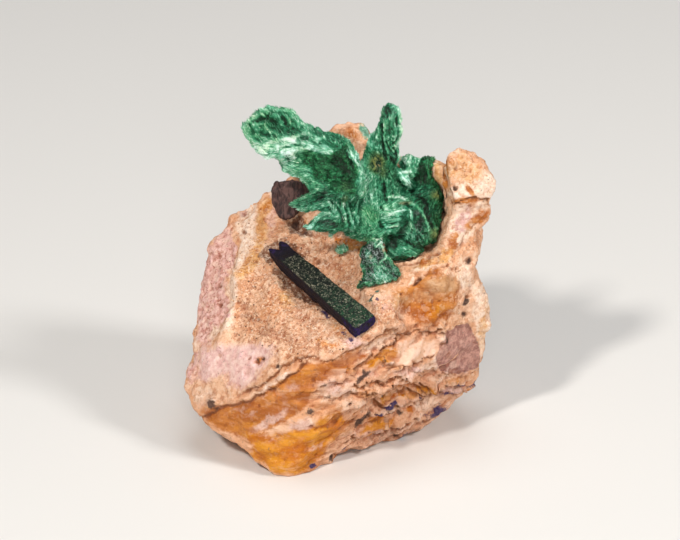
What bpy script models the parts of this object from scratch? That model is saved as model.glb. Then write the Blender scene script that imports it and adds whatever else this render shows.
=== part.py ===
"""A mineral specimen: a spray of malachite after azurite, on its own piece of rock.

+Z is up, -Y is the side that is looked at and +X is its right. The origin is on the flat
broken face that the rock rests on, behind its front foot. Lengths in the tables below are
millimetres.
"""

import math

import bmesh
import bpy
from mathutils import Matrix, Vector, noise

MM = 0.001

# Driving sizes
GAP = 0.35  # left between a crystal and the rock it grows from
ROCK_GRAIN = 0.8  # size of the cells the rock's blocks are fused in
ROCK_FACES = 5200
SPRAY_GRAIN = 0.42
SPRAY_FACES = 3000
SKIN = 0.25  # the plates are drawn in by this, which their fused skin makes up
LEAN = math.radians(25)  # the crystal plates lean back by this much

# Corners of the main block, named round it from the front foot
BODY = {
    "front foot": (-5.3, -10.0, -0.6),
    "foot right of it": (0.6, -4.4, -0.6),
    "foot, middle": (4.2, 2.4, -0.6),
    "right foot": (13.5, 6.8, -0.6),
    "back right foot": (17.0, 15.0, -0.6),
    "back foot": (9.0, 23.0, -0.6),
    "back left foot": (-6.0, 22.0, -0.6),
    "left foot": (-13.0, 10.0, -0.6),
    "front left foot": (-9.0, -3.0, -0.6),
    "lower left edge": (-11.3, -7.0, 3.8),
    "lower left corner": (-18.6, -2.4, 5.4),
    "below the left tip": (-21.0, 1.2, 7.6),
    "left tip": (-22.8, 4.4, 9.8),
    "left wall, low": (-20.0, 12.0, 16.0),
    "left wall, middle": (-18.6, 18.0, 25.0),
    "left wall, high": (-16.3, 21.0, 29.4),
    "left shoulder": (-12.9, 23.0, 32.4),
    "top left": (-9.4, 24.0, 33.9),
    "behind the left wall": (-15.0, 27.0, 14.0),
    "rim above the bar": (-11.3, 17.0, 31.2),
    "rim beside the bar": (-13.2, 9.0, 24.6),
    "rim, low": (-15.2, 4.0, 19.0),
    "front rim, left": (-15.3, -2.0, 10.8),
    "front rim": (-8.0, -6.0, 16.1),
    "front rim, middle": (-3.2, -8.0, 20.0),
    "front rim, under the bar": (4.0, -8.0, 22.0),
    "front rim, right": (12.9, -4.0, 27.2),
    "right shoulder": (21.0, 3.0, 31.0),
    "right side, high": (25.4, 6.0, 28.2),
    "right bulge": (27.8, 7.0, 21.6),
    "right side, low": (27.1, 8.0, 14.3),
    "lower right": (25.8, 9.0, 8.4),
    "lower right edge": (21.0, 8.0, 3.9),
    "lower right end": (17.7, 6.0, 1.8),
    "lower edge": (10.3, 0.8, 2.0),
    "lower edge, middle": (3.6, -2.4, 2.2),
    "back right": (25.0, 19.0, 24.0),
    "back right, low": (22.0, 19.0, 6.0),
    "back": (2.0, 29.5, 34.0),
    "back, right": (14.0, 27.0, 32.0),
    "back, low": (4.0, 28.5, 10.0),
    "back left, low": (-8.0, 28.0, 8.0),
}

# Smaller blocks that stand on it
BACK_WALL = [
    (-9.0, 19.5, 30.0), (-9.0, 26.0, 31.0), (-3.0, 20.0, 36.5), (0.5, 20.5, 44.5),
    (0.6, 20.6, 46.9), (3.3, 20.6, 49.2), (5.4, 20.6, 49.5), (7.6, 21.0, 48.6), (9.0, 21.5, 45.0),
    (17.0, 18.0, 41.0), (20.0, 16.0, 42.0), (22.0, 17.0, 30.0), (20.0, 23.0, 30.0),
    (6.0, 27.0, 44.0), (2.0, 27.5, 43.0), (14.0, 25.5, 36.0), (0.0, 19.0, 30.0),
]
RIGHT_PILLAR = [
    (18.6, 4.0, 30.0), (24.4, 5.0, 29.0), (25.0, 13.0, 28.0), (19.0, 15.0, 30.0),
    (20.6, 7.0, 37.0), (21.5, 8.0, 40.0), (27.6, 9.5, 39.4), (27.6, 9.5, 37.0),
    (26.0, 7.0, 33.0), (26.8, 14.0, 38.0), (21.0, 15.0, 40.5), (19.6, 13.0, 38.0),
]
TOP_BLOCK = [
    (21.4, 6.5, 40.2), (27.6, 8.2, 40.4), (28.6, 9.5, 42.4), (28.2, 10.6, 43.8),
    (27.0, 11.0, 45.2), (25.3, 11.0, 47.2), (22.2, 11.0, 49.2), (20.0, 10.5, 48.0), (19.9, 8.0, 45.4),
    (20.5, 7.2, 42.0), (27.0, 14.5, 41.0), (21.5, 15.5, 41.5), (22.5, 14.8, 47.0),
    (26.4, 14.0, 45.8),
]
FRONT_LEDGE = [
    (-14.0, -5.0, 9.0), (-8.0, -8.4, 6.0), (-4.6, -9.6, 9.0), (6.0, -8.4, 12.0),
    (16.0, -2.6, 14.0), (24.0, 4.8, 16.0), (22.0, 4.4, 20.0), (12.0, -4.4, 20.0),
    (4.0, -7.8, 17.0), (-8.0, -7.6, 12.0), (0.0, 4.0, 12.0), (10.0, 8.0, 16.0),
]
RIGHT_WALL = [
    (16.6, 13.0, 40.0), (17.4, 13.6, 43.4), (18.8, 13.4, 45.4), (20.6, 12.0, 44.6),
    (21.0, 10.0, 40.0), (19.0, 10.5, 36.0), (16.6, 13.0, 36.0), (17.0, 19.0, 41.2),
    (20.5, 19.0, 41.8), (22.0, 14.0, 43.0), (10.0, 19.0, 40.4), (10.0, 23.0, 40.4),
    (12.0, 18.0, 34.0), (21.0, 19.0, 34.0),
]
LEFT_KNOBS = [
    ((-7.5, 22.4, 34.4), (0.9, 1.3, 1.6)),
    ((-13.8, 21.6, 31.0), (1.9, 1.9, 1.6)),
    ((-17.0, 19.6, 27.4), (1.7, 2.0, 1.8)),
]

# Hollows: centre, half sizes and turn about Y in degrees
HOLLOWS = {
    "bowl": ((-1.6, 4.4, 39.0), (12.2, 12.4, 14.2), 0),
    "nest": ((12.5, 11.0, 38.0), (8.0, 8.0, 8.4), 0),
    "ochre pan": ((17.6, -2.6, 27.6), (6.0, 4.2, 4.6), -24),
    "right notch": ((26.6, 4.6, 31.2), (2.6, 3.4, 2.4), 0),
    "pillar waist": ((27.8, 8.6, 34.0), (2.4, 4.0, 2.6), 0),
    "gap beside the knob": ((12.6, 20.0, 48.4), (4.6, 6.4, 5.6), 0),
    "dent above the left tip": ((-23.6, 8.0, 14.2), (3.6, 6.0, 3.0), 20),
    "notch in the front foot": ((4.9, -2.9, -0.6), (3.1, 3.1, 2.3), 0),
}
CRACK = {"middle": (24.8, 5.6, 40.2), "half": (4.2, 3.6, 0.24), "turn": -3}
CREST = [
    (-8.2, 22.4, 33.8), (-10.2, 20.4, 32.4), (-12.2, 15.5, 29.0), (-13.0, 8.7, 24.8),
    (-14.8, 4.7, 19.5), (-15.8, 3.4, 17.5),
]
# The upper limit of the ledges on the front, across and up as the front is looked at
LEDGE_LINE = [
    (-22.0, 8.0), (-15.3, 8.7), (-8.0, 12.1), (-3.2, 15.0), (4.0, 16.8), (8.9, 20.3),
    (12.9, 21.6), (19.0, 20.4), (24.0, 12.0), (30.0, 12.0),
]

# Plates of the spray. An outline is across and up as the front is looked at, a depth is the
# plate's middle along Y, and a plate is turned and leant about that middle in degrees.
PLATES = {
    "left arm, tip": {
        "depth": 9.5, "thick": 4.2, "turn": 8, "lean": 10,
        "outline": [
            (-12.8, 52.3), (-11.2, 54.0), (-9.4, 55.3), (-8.2, 55.8), (-6.9, 55.2),
            (-5.3, 55.2), (-3.9, 54.4), (-2.9, 53.2), (-1.0, 52.3), (0.8, 51.6),
            (2.4, 50.5), (1.6, 48.5), (-3.2, 47.6), (-6.3, 46.5), (-7.0, 46.9),
            (-8.5, 46.7), (-10.0, 47.6), (-11.5, 49.7),
        ],
    },
    "left arm, broad face": {
        "depth": 9.2, "thick": 5.4, "turn": -12, "lean": 6,
        "outline": [
            (-6.3, 47.3), (-5.6, 45.3), (-3.2, 44.2), (-1.6, 43.4), (-1.3, 41.9),
            (1.6, 41.1), (4.8, 40.5), (6.8, 41.3), (7.4, 43.7), (6.0, 46.9),
            (5.2, 49.0), (3.2, 50.6), (0.8, 51.1), (-3.2, 50.2), (-6.0, 48.9),
        ],
    },
    "upright": {
        "depth": 11.5, "thick": 4.4, "turn": 6, "lean": 14,
        "outline": [
            (9.8, 55.3), (10.6, 56.0), (11.6, 56.0), (12.6, 55.3), (12.9, 54.7),
            (12.7, 52.7), (13.4, 52.1), (13.4, 50.8), (12.7, 49.8), (12.9, 47.7),
            (12.6, 45.3), (13.2, 42.1), (12.1, 38.1), (8.1, 36.9), (6.1, 40.5),
            (6.0, 44.5), (6.8, 47.3), (7.6, 49.8), (8.7, 52.1), (9.5, 53.4),
        ],
    },
    "left crystal": {
        "depth": 9.4, "thick": 3.0, "turn": -16, "lean": -10,
        "outline": [
            (-5.5, 39.6), (-3.2, 41.0), (-0.6, 41.8), (1.9, 42.3), (5.0, 41.0),
            (4.4, 38.4), (-0.3, 38.5), (-2.4, 38.4), (-4.2, 39.0),
        ],
    },
    "pointed crystal": {
        "depth": 7.6, "thick": 3.2, "turn": -14, "lean": -12,
        "outline": [
            (-3.1, 36.0), (-1.1, 37.4), (0.6, 38.4), (1.6, 40.4), (2.6, 40.8),
            (4.2, 40.0), (6.0, 38.0), (6.4, 35.3), (3.2, 35.2), (0.8, 35.2), (-1.3, 35.5),
        ],
    },
    "lower mass": {
        "depth": 9.6, "thick": 6.6, "turn": 0, "lean": 6,
        "outline": [
            (3.4, 40.4), (7.0, 43.0), (12.6, 43.0), (14.4, 38.2), (13.4, 34.6),
            (10.4, 33.6), (7.6, 33.6), (5.4, 34.2), (3.8, 34.8), (3.0, 37.6),
        ],
    },
    "dome": {
        "depth": 14.0, "thick": 4.0, "turn": 0, "lean": 0,
        "outline": [
            (12.4, 46.6), (13.5, 47.9), (14.4, 48.1), (15.2, 47.7), (16.3, 46.9),
            (16.5, 44.0), (13.2, 43.4),
        ],
    },
    "back lobe": {
        "depth": 14.2, "thick": 4.6, "turn": -10, "lean": 4,
        "outline": [
            (15.6, 46.8), (17.1, 47.7), (18.2, 47.7), (19.1, 46.9), (19.2, 44.9), (19.4, 43.3),
            (20.8, 41.6), (20.0, 40.2), (16.9, 40.8), (14.6, 41.8), (14.4, 45.4),
        ],
    },
    "tongue": {
        "depth": 10.4, "thick": 1.8, "turn": 20, "lean": 0,
        "outline": [
            (12.2, 46.2), (14.4, 45.0), (15.0, 43.6), (14.8, 42.6), (13.9, 42.5), (12.6, 43.6),
        ],
    },
    "right body": {
        "depth": 12.6, "thick": 6.6, "turn": 0, "lean": 8,
        "outline": [
            (12.8, 43.6), (17.7, 42.8), (20.2, 41.0), (20.1, 39.0), (19.9, 37.0),
            (20.0, 35.0), (18.6, 33.5), (14.6, 33.8), (12.6, 37.8),
        ],
    },
    "shiny lobe": {
        "depth": 9.0, "thick": 4.6, "turn": 6, "lean": 10,
        "outline": [
            (13.6, 38.8), (15.0, 40.0), (16.8, 39.8), (18.1, 38.0), (18.9, 36.0),
            (18.4, 34.0), (16.9, 32.9), (14.9, 32.9), (13.6, 34.6),
        ],
    },
    "lower plate": {
        "depth": 3.4, "thick": 2.6, "turn": 6, "lean": -18,
        "outline": [
            (6.5, 33.4), (8.4, 34.2), (10.4, 33.8), (10.9, 31.7), (12.3, 30.7),
            (13.3, 29.2), (12.9, 27.4), (11.5, 26.2), (9.4, 25.8), (7.2, 26.0),
            (5.4, 25.9), (5.9, 27.2), (6.9, 28.1), (6.6, 30.0), (6.3, 31.5),
        ],
    },
    "lower lobe": {
        "depth": 8.6, "thick": 4.0, "turn": 0, "lean": 0,
        "outline": [
            (10.0, 34.8), (13.7, 35.2), (16.3, 33.6), (17.2, 32.3), (16.4, 30.9),
            (13.7, 30.2), (11.2, 30.7),
        ],
    },
    "back crystal": {
        "depth": 16.5, "thick": 3.4, "turn": 0, "lean": 0,
        "outline": [(6.6, 52.7), (7.5, 53.4), (8.2, 52.8), (9.4, 50.6), (9.0, 47.0), (6.8, 47.6)],
    },
    "splinter": {
        "depth": 9.4, "thick": 1.4, "turn": 0, "lean": 10,
        "outline": [(4.8, 48.6), (5.4, 48.5), (6.3, 46.8), (6.9, 45.0), (5.4, 45.4)],
    },
}

# The dark bar, the brown blade and the small tuft
BAR = {
    "back end": (-7.5, 12.2, 31.5), "front end": (7.3, -6.6, 25.9), "facing": (-0.03, -0.42, 0.88),
    "thick": 2.8, "bevel": 0.22,
    "outline": [
        (11.9, -2.3), (12.1, 2.1), (-10.6, 1.8), (-12.3, 1.3), (-10.2, 0.2), (-12.4, -0.9),
        (-11.0, -1.6),
    ],
}
TROUGH = {"shift": (1.4, -0.3, 0.2), "half": (17.0, 4.6, 3.4)}
BLADE = {
    "middle": (-4.9, 18.5, 36.0), "thick": 1.5, "turn": 3, "lean": 24, "bevel": 0.2,
    "outline": [
        (-3.0, 1.6), (-2.2, 3.1), (0.6, 3.3), (3.6, 2.6), (4.3, 1.0), (3.0, -0.4),
        (1.6, -1.4), (0.5, -2.8), (-0.8, -3.0), (-2.0, -2.5), (-2.8, -0.4),
    ],
}
TUFT = {"middle": (3.6, 11.4, 30.6), "half": (1.1, 0.9, 0.8)}

ROCK_PAINT = ((0.72, 0.47, 0.29), 0.9)
SPRAY_PAINT = ((0.05, 0.30, 0.15), 0.55)
BAR_PAINT = ((0.03, 0.07, 0.05), 0.4)
BLADE_PAINT = ((0.09, 0.05, 0.04), 0.7)


def clear_scene():
    for old in list(bpy.data.objects):
        bpy.data.objects.remove(old, do_unlink=True)


def new_object(name, bm):
    """An object at the origin that holds the bmesh, given in millimetres."""
    bmesh.ops.scale(bm, vec=(MM, MM, MM), verts=bm.verts)
    bmesh.ops.recalc_face_normals(bm, faces=bm.faces)
    mesh = bpy.data.meshes.new(name)
    bm.to_mesh(mesh)
    bm.free()
    made = bpy.data.objects.new(name, mesh)
    bpy.context.scene.collection.objects.link(made)
    return made


def add_hull(bm, corners):
    """Adds the block that has these corners."""
    verts = [bm.verts.new(c) for c in corners]
    found = bmesh.ops.convex_hull(bm, input=verts)
    inside = [v for v in found["geom_interior"] if isinstance(v, bmesh.types.BMVert)]
    bmesh.ops.delete(bm, geom=inside, context="VERTS")


def add_egg(bm, middle, half, turn=0.0):
    """Adds a ball stretched to these half sizes and turned about Y."""
    place = (
        Matrix.Translation(middle)
        @ Matrix.Rotation(math.radians(turn), 4, "Y")
        @ Matrix.Diagonal((*half, 1.0))
    )
    bmesh.ops.create_icosphere(bm, subdivisions=3, radius=1.0, matrix=place)


def inset(outline, amount):
    """The outline drawn in by this amount at every corner."""
    drawn = []
    for i, (x, z) in enumerate(outline):
        before, after = Vector(outline[i - 1]), Vector(outline[(i + 1) % len(outline)])
        along = (after - before).normalized()
        drawn.append((x + amount * along.y, z - amount * along.x))
    return drawn


def is_clockwise(outline):
    pairs = zip(outline, outline[1:] + outline[:1])
    return sum(a[0] * b[1] - b[0] * a[1] for a, b in pairs) < 0


def add_slab(bm, outline, place, thick, bevel):
    """Adds an outline in the XZ plane, thick along Y, with its two faces drawn in."""
    if not is_clockwise(outline):
        outline = outline[::-1]
    count = len(outline)
    rings = []
    for side, drawn in ((-0.5, bevel), (-0.2, 0.0), (0.2, 0.0), (0.5, bevel)):
        ring = [bm.verts.new(place @ Vector((x, side * thick, z))) for x, z in inset(outline, drawn)]
        rings.append(ring)
    bm.faces.new(rings[0])
    bm.faces.new(rings[-1][::-1])
    for near, far in zip(rings, rings[1:]):
        for i in range(count):
            after = (i + 1) % count
            bm.faces.new((near[after], near[i], far[i], far[after]))


def plate_place(outline, depth, turn, lean):
    """Stands a plate at a depth in the leaning plane, turned and leant about its own middle."""
    across = sum(x for x, _ in outline) / len(outline)
    up = sum(z for _, z in outline) / len(outline)
    back = depth / math.cos(LEAN) - up * math.tan(LEAN)
    return (
        Matrix.Rotation(-LEAN, 4, "X")
        @ Matrix.Translation((across, back, up))
        @ Matrix.Rotation(math.radians(turn), 4, "Z")
        @ Matrix.Rotation(math.radians(lean), 4, "X")
        @ Matrix.Translation((-across, 0.0, -up))
    )


def settle(obj):
    """Applies the object's modifiers."""
    graph = bpy.context.evaluated_depsgraph_get()
    mesh = bpy.data.meshes.new_from_object(obj.evaluated_get(graph))
    obj.modifiers.clear()
    old = obj.data
    obj.data = mesh
    bpy.data.meshes.remove(old)


def fuse(obj, grain, smooth):
    """Makes one skin round everything in the object."""
    remesh = obj.modifiers.new("fuse", "REMESH")
    remesh.mode = "VOXEL"
    remesh.voxel_size = grain * MM
    if smooth:
        soften = obj.modifiers.new("soften", "SMOOTH")
        soften.factor = 0.5
        soften.iterations = smooth
    settle(obj)


def cut(obj, cutter):
    """Cuts the cutter from the object, then removes the cutter."""
    boolean = obj.modifiers.new("cut", "BOOLEAN")
    boolean.operation = "DIFFERENCE"
    boolean.solver = "EXACT"
    boolean.object = cutter
    settle(obj)
    bpy.data.objects.remove(cutter, do_unlink=True)


def thin_out(obj, faces):
    """Brings the object down to about this many triangles."""
    obj.data.calc_loop_triangles()
    decimate = obj.modifiers.new("thin out", "DECIMATE")
    decimate.ratio = min(1.0, faces / len(obj.data.loop_triangles))
    decimate.use_collapse_triangulate = True
    settle(obj)


def keep_largest(obj):
    """Drops crumbs that a cut has left beside the main body."""
    bm = bmesh.new()
    bm.from_mesh(obj.data)
    left, bodies = set(bm.verts), []
    while left:
        body, edge = set(), [left.pop()]
        while edge:
            vert = edge.pop()
            body.add(vert)
            for link in vert.link_edges:
                other = link.other_vert(vert)
                if other in left:
                    left.remove(other)
                    edge.append(other)
        bodies.append(body)
    bodies.sort(key=len)
    for body in bodies[:-1]:
        bmesh.ops.delete(bm, geom=list(body), context="VERTS")
    bm.to_mesh(obj.data)
    bm.free()


def push_out(obj, relief):
    """Moves every point along its normal by relief(point, normal), all in millimetres."""
    moves = []
    for vert in obj.data.vertices:
        point = vert.co / MM
        moves.append(point + vert.normal * relief(point, vert.normal))
    for vert, place in zip(obj.data.vertices, moves):
        vert.co = place * MM


def smoothstep(low, high, value):
    t = min(1.0, max(0.0, (value - low) / (high - low)))
    return t * t * (3.0 - 2.0 * t)


def distance_to_line(point, line):
    """How far the point is from a chain of straight pieces."""
    best = 1e9
    for start, end in zip(line, line[1:]):
        start, end = Vector(start), Vector(end)
        along = end - start
        t = min(1.0, max(0.0, (point - start).dot(along) / along.dot(along)))
        best = min(best, (point - start - along * t).length)
    return best


def height_on_line(x, line):
    for (x0, z0), (x1, z1) in zip(line, line[1:]):
        if x <= x1:
            return z0 + (z1 - z0) * (x - x0) / (x1 - x0)
    return line[-1][1]


def rock_relief(point, normal):
    """Lumps and pits all over, a crest on the left, ledges on the broken front."""
    lumps = 0.7 * noise.fractal(point / 6.5, 1.0, 2.0, 3)
    crumbs = 0.28 * noise.fractal(point / 1.9 + Vector((9.0, 4.0, 2.0)), 1.0, 2.0, 2)
    crest = 1.2 * math.exp(-((distance_to_line(point, CREST) / 1.2) ** 2))
    up_view = point.y * math.sin(LEAN) + point.z * math.cos(LEAN)
    below = height_on_line(point.x, LEDGE_LINE) - up_view + 0.8 * noise.noise(point / 3.0)
    zone = smoothstep(-0.2, 1.2, below) * smoothstep(0.3, -0.3, normal.y)
    wave = noise.noise(point / 8.0 + Vector((3.0, 0.0, 5.0))) + 0.4 * noise.noise(point / 3.0)
    bed = point.dot(Vector((-0.31, -0.05, 0.95))) / 2.7 + 0.55 * wave
    step = bed - math.floor(bed)
    ledge = 1.5 * (step - 0.5) * smoothstep(1.0, 0.8, step)
    broken = 0.25 + 0.75 * smoothstep(-0.3, 0.25, noise.noise(point / 4.2 + Vector((1.0, 7.0, 3.0))))
    streaked = 0.35 + 0.65 * smoothstep(-7.0, 1.0, point.x)
    return lumps + crumbs + crest + ledge * zone * broken * streaked


def bar_place():
    """The bar's own axes: along it, out of its top face, and across it."""
    back, front = Vector(BAR["back end"]), Vector(BAR["front end"])
    along = (front - back).normalized()
    facing = Vector(BAR["facing"])
    facing = (facing - along * facing.dot(along)).normalized()
    across = along.cross(facing)
    axes = Matrix((along, facing, across)).transposed().to_4x4()
    return Matrix.Translation((back + front) / 2) @ axes


def add_trough(bm):
    """Adds the hollow that the bar lies in, wider on its lower side."""
    along, across, out = TROUGH["shift"]
    half_along, half_across, half_out = TROUGH["half"]
    place = (
        bar_place()
        @ Matrix.Translation((along, out, across))
        @ Matrix.Diagonal((half_along, half_out, half_across, 1.0))
    )
    bmesh.ops.create_icosphere(bm, subdivisions=3, radius=1.0, matrix=place)


def build_rock():
    bm = bmesh.new()
    for corners in (BODY.values(), BACK_WALL, RIGHT_PILLAR, RIGHT_WALL, TOP_BLOCK, FRONT_LEDGE):
        add_hull(bm, corners)
    for middle, half in LEFT_KNOBS:
        add_egg(bm, middle, half)
    rock = new_object("matrix_rock", bm)
    fuse(rock, ROCK_GRAIN, 1)
    for middle, half, turn in HOLLOWS.values():
        bm = bmesh.new()
        add_egg(bm, middle, half, turn)
        cut(rock, new_object("hollow", bm))
    bm = bmesh.new()
    add_trough(bm)
    cut(rock, new_object("trough", bm))
    fuse(rock, ROCK_GRAIN, 2)
    push_out(rock, rock_relief)
    thin_out(rock, ROCK_FACES)
    crack = (
        Matrix.Translation(CRACK["middle"])
        @ Matrix.Rotation(math.radians(CRACK["turn"]), 4, "Y")
        @ Matrix.Diagonal((*CRACK["half"], 1.0))
    )
    bm = bmesh.new()
    bmesh.ops.create_cube(bm, size=2.0, matrix=crack)
    cut(rock, new_object("crack", bm))
    ground = Matrix.Translation((0.0, 10.0, -5.0)) @ Matrix.Diagonal((60.0, 60.0, 10.0, 1.0))
    bm = bmesh.new()
    bmesh.ops.create_cube(bm, size=1.0, matrix=ground)
    cut(rock, new_object("ground", bm))
    keep_largest(rock)
    return rock


def swollen(rock):
    """A copy of the rock, bigger all round by the gap."""
    copy = bpy.data.objects.new("swollen", rock.data.copy())
    bpy.context.scene.collection.objects.link(copy)
    push_out(copy, lambda point, normal: GAP)
    return copy


def spray_relief(point, normal):
    """Ribs along the fibres, and small lumps."""
    ribs = 0.22 * noise.fractal(Vector((point.x * 1.3, point.y, point.z * 0.5)), 1.0, 2.0, 2)
    return ribs + 0.2 * noise.noise(point / 1.4)


def build_spray(rock):
    bm = bmesh.new()
    for plate in PLATES.values():
        place = plate_place(plate["outline"], plate["depth"], plate["turn"], plate["lean"])
        outline = inset(plate["outline"], SKIN)
        add_slab(bm, outline, place, plate["thick"], 0.2 * plate["thick"])
    spray = new_object("malachite_spray", bm)
    fuse(spray, SPRAY_GRAIN, 2)
    push_out(spray, spray_relief)
    thin_out(spray, SPRAY_FACES)
    cut(spray, swollen(rock))
    keep_largest(spray)
    return spray


def build_bar(rock):
    bm = bmesh.new()
    place = bar_place() @ Matrix.Translation((0.0, -BAR["thick"] / 2, 0.0))
    add_slab(bm, BAR["outline"], place, BAR["thick"], BAR["bevel"])
    bar = new_object("azurite_bar", bm)
    cut(bar, swollen(rock))
    keep_largest(bar)
    return bar


def build_blade(rock):
    place = (
        Matrix.Translation(BLADE["middle"])
        @ Matrix.Rotation(math.radians(BLADE["turn"]), 4, "Z")
        @ Matrix.Rotation(-math.radians(BLADE["lean"]), 4, "X")
    )
    bm = bmesh.new()
    add_slab(bm, BLADE["outline"], place, BLADE["thick"], BLADE["bevel"])
    blade = new_object("brown_blade", bm)
    cut(blade, swollen(rock))
    keep_largest(blade)
    return blade


def build_tuft(rock):
    bm = bmesh.new()
    add_egg(bm, TUFT["middle"], TUFT["half"])
    tuft = new_object("malachite_tuft", bm)
    cut(tuft, swollen(rock))
    keep_largest(tuft)
    return tuft


def paint(obj, look):
    colour, roughness = look
    material = bpy.data.materials.new(obj.name)
    material.use_nodes = True
    shader = material.node_tree.nodes["Principled BSDF"]
    shader.inputs["Base Color"].default_value = (*colour, 1.0)
    shader.inputs["Roughness"].default_value = roughness
    obj.data.materials.clear()
    obj.data.materials.append(material)


def build():
    clear_scene()
    rock = build_rock()
    spray = build_spray(rock)
    bar = build_bar(rock)
    blade = build_blade(rock)
    tuft = build_tuft(rock)
    paint(rock, ROCK_PAINT)
    paint(spray, SPRAY_PAINT)
    paint(bar, BAR_PAINT)
    paint(blade, BLADE_PAINT)
    paint(tuft, SPRAY_PAINT)


build()
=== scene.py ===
import math

import bmesh
import bpy
import numpy as np
from mathutils import Matrix, Vector


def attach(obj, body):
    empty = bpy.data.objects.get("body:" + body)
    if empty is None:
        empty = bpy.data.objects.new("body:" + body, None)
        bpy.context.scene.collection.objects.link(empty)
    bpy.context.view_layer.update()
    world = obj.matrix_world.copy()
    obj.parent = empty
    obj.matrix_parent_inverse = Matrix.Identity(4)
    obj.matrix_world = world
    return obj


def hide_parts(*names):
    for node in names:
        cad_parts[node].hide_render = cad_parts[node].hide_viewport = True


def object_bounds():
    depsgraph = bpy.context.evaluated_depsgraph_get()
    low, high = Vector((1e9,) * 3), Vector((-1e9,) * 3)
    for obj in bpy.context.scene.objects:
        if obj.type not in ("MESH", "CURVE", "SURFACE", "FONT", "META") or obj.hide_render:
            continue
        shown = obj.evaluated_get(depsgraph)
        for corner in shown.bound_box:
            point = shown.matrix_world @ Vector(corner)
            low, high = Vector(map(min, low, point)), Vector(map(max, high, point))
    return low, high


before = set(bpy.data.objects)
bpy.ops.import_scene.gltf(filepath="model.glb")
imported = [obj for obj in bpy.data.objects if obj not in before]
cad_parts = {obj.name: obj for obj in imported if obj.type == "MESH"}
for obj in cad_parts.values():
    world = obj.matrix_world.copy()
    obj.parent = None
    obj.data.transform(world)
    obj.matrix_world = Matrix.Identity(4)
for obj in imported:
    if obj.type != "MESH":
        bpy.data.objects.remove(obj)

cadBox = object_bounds()  # the solids' box, straight after loading
mm = 0.001
print("frame loaded:", len(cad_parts), "nodes")


view = {
    "lift": 25.0,  # degrees looking down
    "distance": 1.0,  # metres, a long lens
    "aim": (0.00323, 0.008, 0.0285),
    "pixelsPerMm": 6.2,
    "frame": (680, 540),
    "sensor": 36,  # mm
}
lift = math.radians(view["lift"])
aim = np.array(view["aim"])
towards = np.array([0.0, -math.cos(lift), math.sin(lift)])  # from the stone to the eye
upward = np.array([0.0, math.sin(lift), math.cos(lift)])
eye = aim + towards * view["distance"]


def seen(points):
    # where the camera sees these points (mm), in the photograph's pixels
    rel = points * mm - eye
    away = -(rel @ towards)
    k = view["pixelsPerMm"] * 1000 * view["distance"] / away
    wide, tall = view["frame"]
    return np.stack([wide / 2 + rel[:, 0] * k, tall / 2 - (rel @ upward) * k], 1)


def placeCamera():
    camera = bpy.data.objects.new("camera", bpy.data.cameras.new("camera"))
    bpy.context.scene.collection.objects.link(camera)
    camera.location = Vector(eye)
    camera.rotation_mode = "QUATERNION"
    camera.rotation_quaternion = Vector(-towards).to_track_quat("-Z", "Y")
    camera.data.sensor_width = view["sensor"]
    shown = view["frame"][0] / view["pixelsPerMm"] * mm
    camera.data.lens = view["sensor"] * view["distance"] / shown
    camera.data.clip_start = 0.01
    bpy.context.scene.camera = camera


studio = {
    "key": {"at": (-0.30, -0.42, 0.55), "watts": 3.4, "size": 0.08, "colour": (1.0, 0.95, 0.89)},
    "right": {"at": (0.45, -0.18, 0.42), "watts": 1.9, "size": 0.12, "colour": (1.0, 0.98, 0.95)},
    "top": {"at": (0.02, 0.12, 0.60), "watts": 1.2, "size": 0.35, "colour": (1.0, 1.0, 1.0)},
    "front": {"at": (0.04, -0.74, 0.38), "watts": 1.6, "size": 0.20, "colour": (1.0, 0.97, 0.93)},
    "aimedAt": (0.003, 0.008, 0.028),
    "sky": (0.93, 0.95, 1.0, 1.0),
    "skyStrength": 0.08,
    "floor": {"half": 3, "colour": (0.78, 0.77, 0.75), "roughness": 0.6},  # metres
}


def placeLights():
    middle = Vector(studio["aimedAt"])
    for name in ("key", "right", "top", "front"):
        kind = studio[name]
        lamp = bpy.data.objects.new(name + "Light", bpy.data.lights.new(name + "Light", "AREA"))
        lamp.data.shape = "DISK"
        lamp.data.size = kind["size"]
        lamp.data.energy = kind["watts"]
        lamp.data.color = kind["colour"]
        lamp.location = kind["at"]
        lamp.rotation_mode = "QUATERNION"
        lamp.rotation_quaternion = (middle - lamp.location).to_track_quat("-Z", "Y")
        bpy.context.scene.collection.objects.link(lamp)
    world = bpy.data.worlds.new("studio")
    world.use_nodes = True
    background = world.node_tree.nodes["Background"]
    background.inputs["Color"].default_value = studio["sky"]
    background.inputs["Strength"].default_value = studio["skyStrength"]
    bpy.context.scene.world = world
    bpy.context.scene.view_settings.view_transform = "Standard"


class Wire:
    # a node's output that can be used in a Python expression
    def __init__(self, shader, socket):
        self.shader = shader
        self.socket = socket

    def maths(self, operation, a, b):
        return self.shader.node("ShaderNodeMath", {"operation": operation}, {0: a, 1: b})

    def __add__(self, other):
        return self.maths("ADD", self, other)

    def __sub__(self, other):
        return self.maths("SUBTRACT", self, other)

    def __rsub__(self, other):
        return self.maths("SUBTRACT", other, self)

    def __mul__(self, other):
        return self.maths("MULTIPLY", self, other)

    __radd__ = __add__
    __rmul__ = __mul__

    def between(self, low, high):
        # 0 below low, 1 above high, smooth from one to the other
        values = {"Value": self, "From Min": low, "From Max": high}
        return self.shader.node("ShaderNodeMapRange", {"interpolation_type": "SMOOTHSTEP"}, values)


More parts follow.
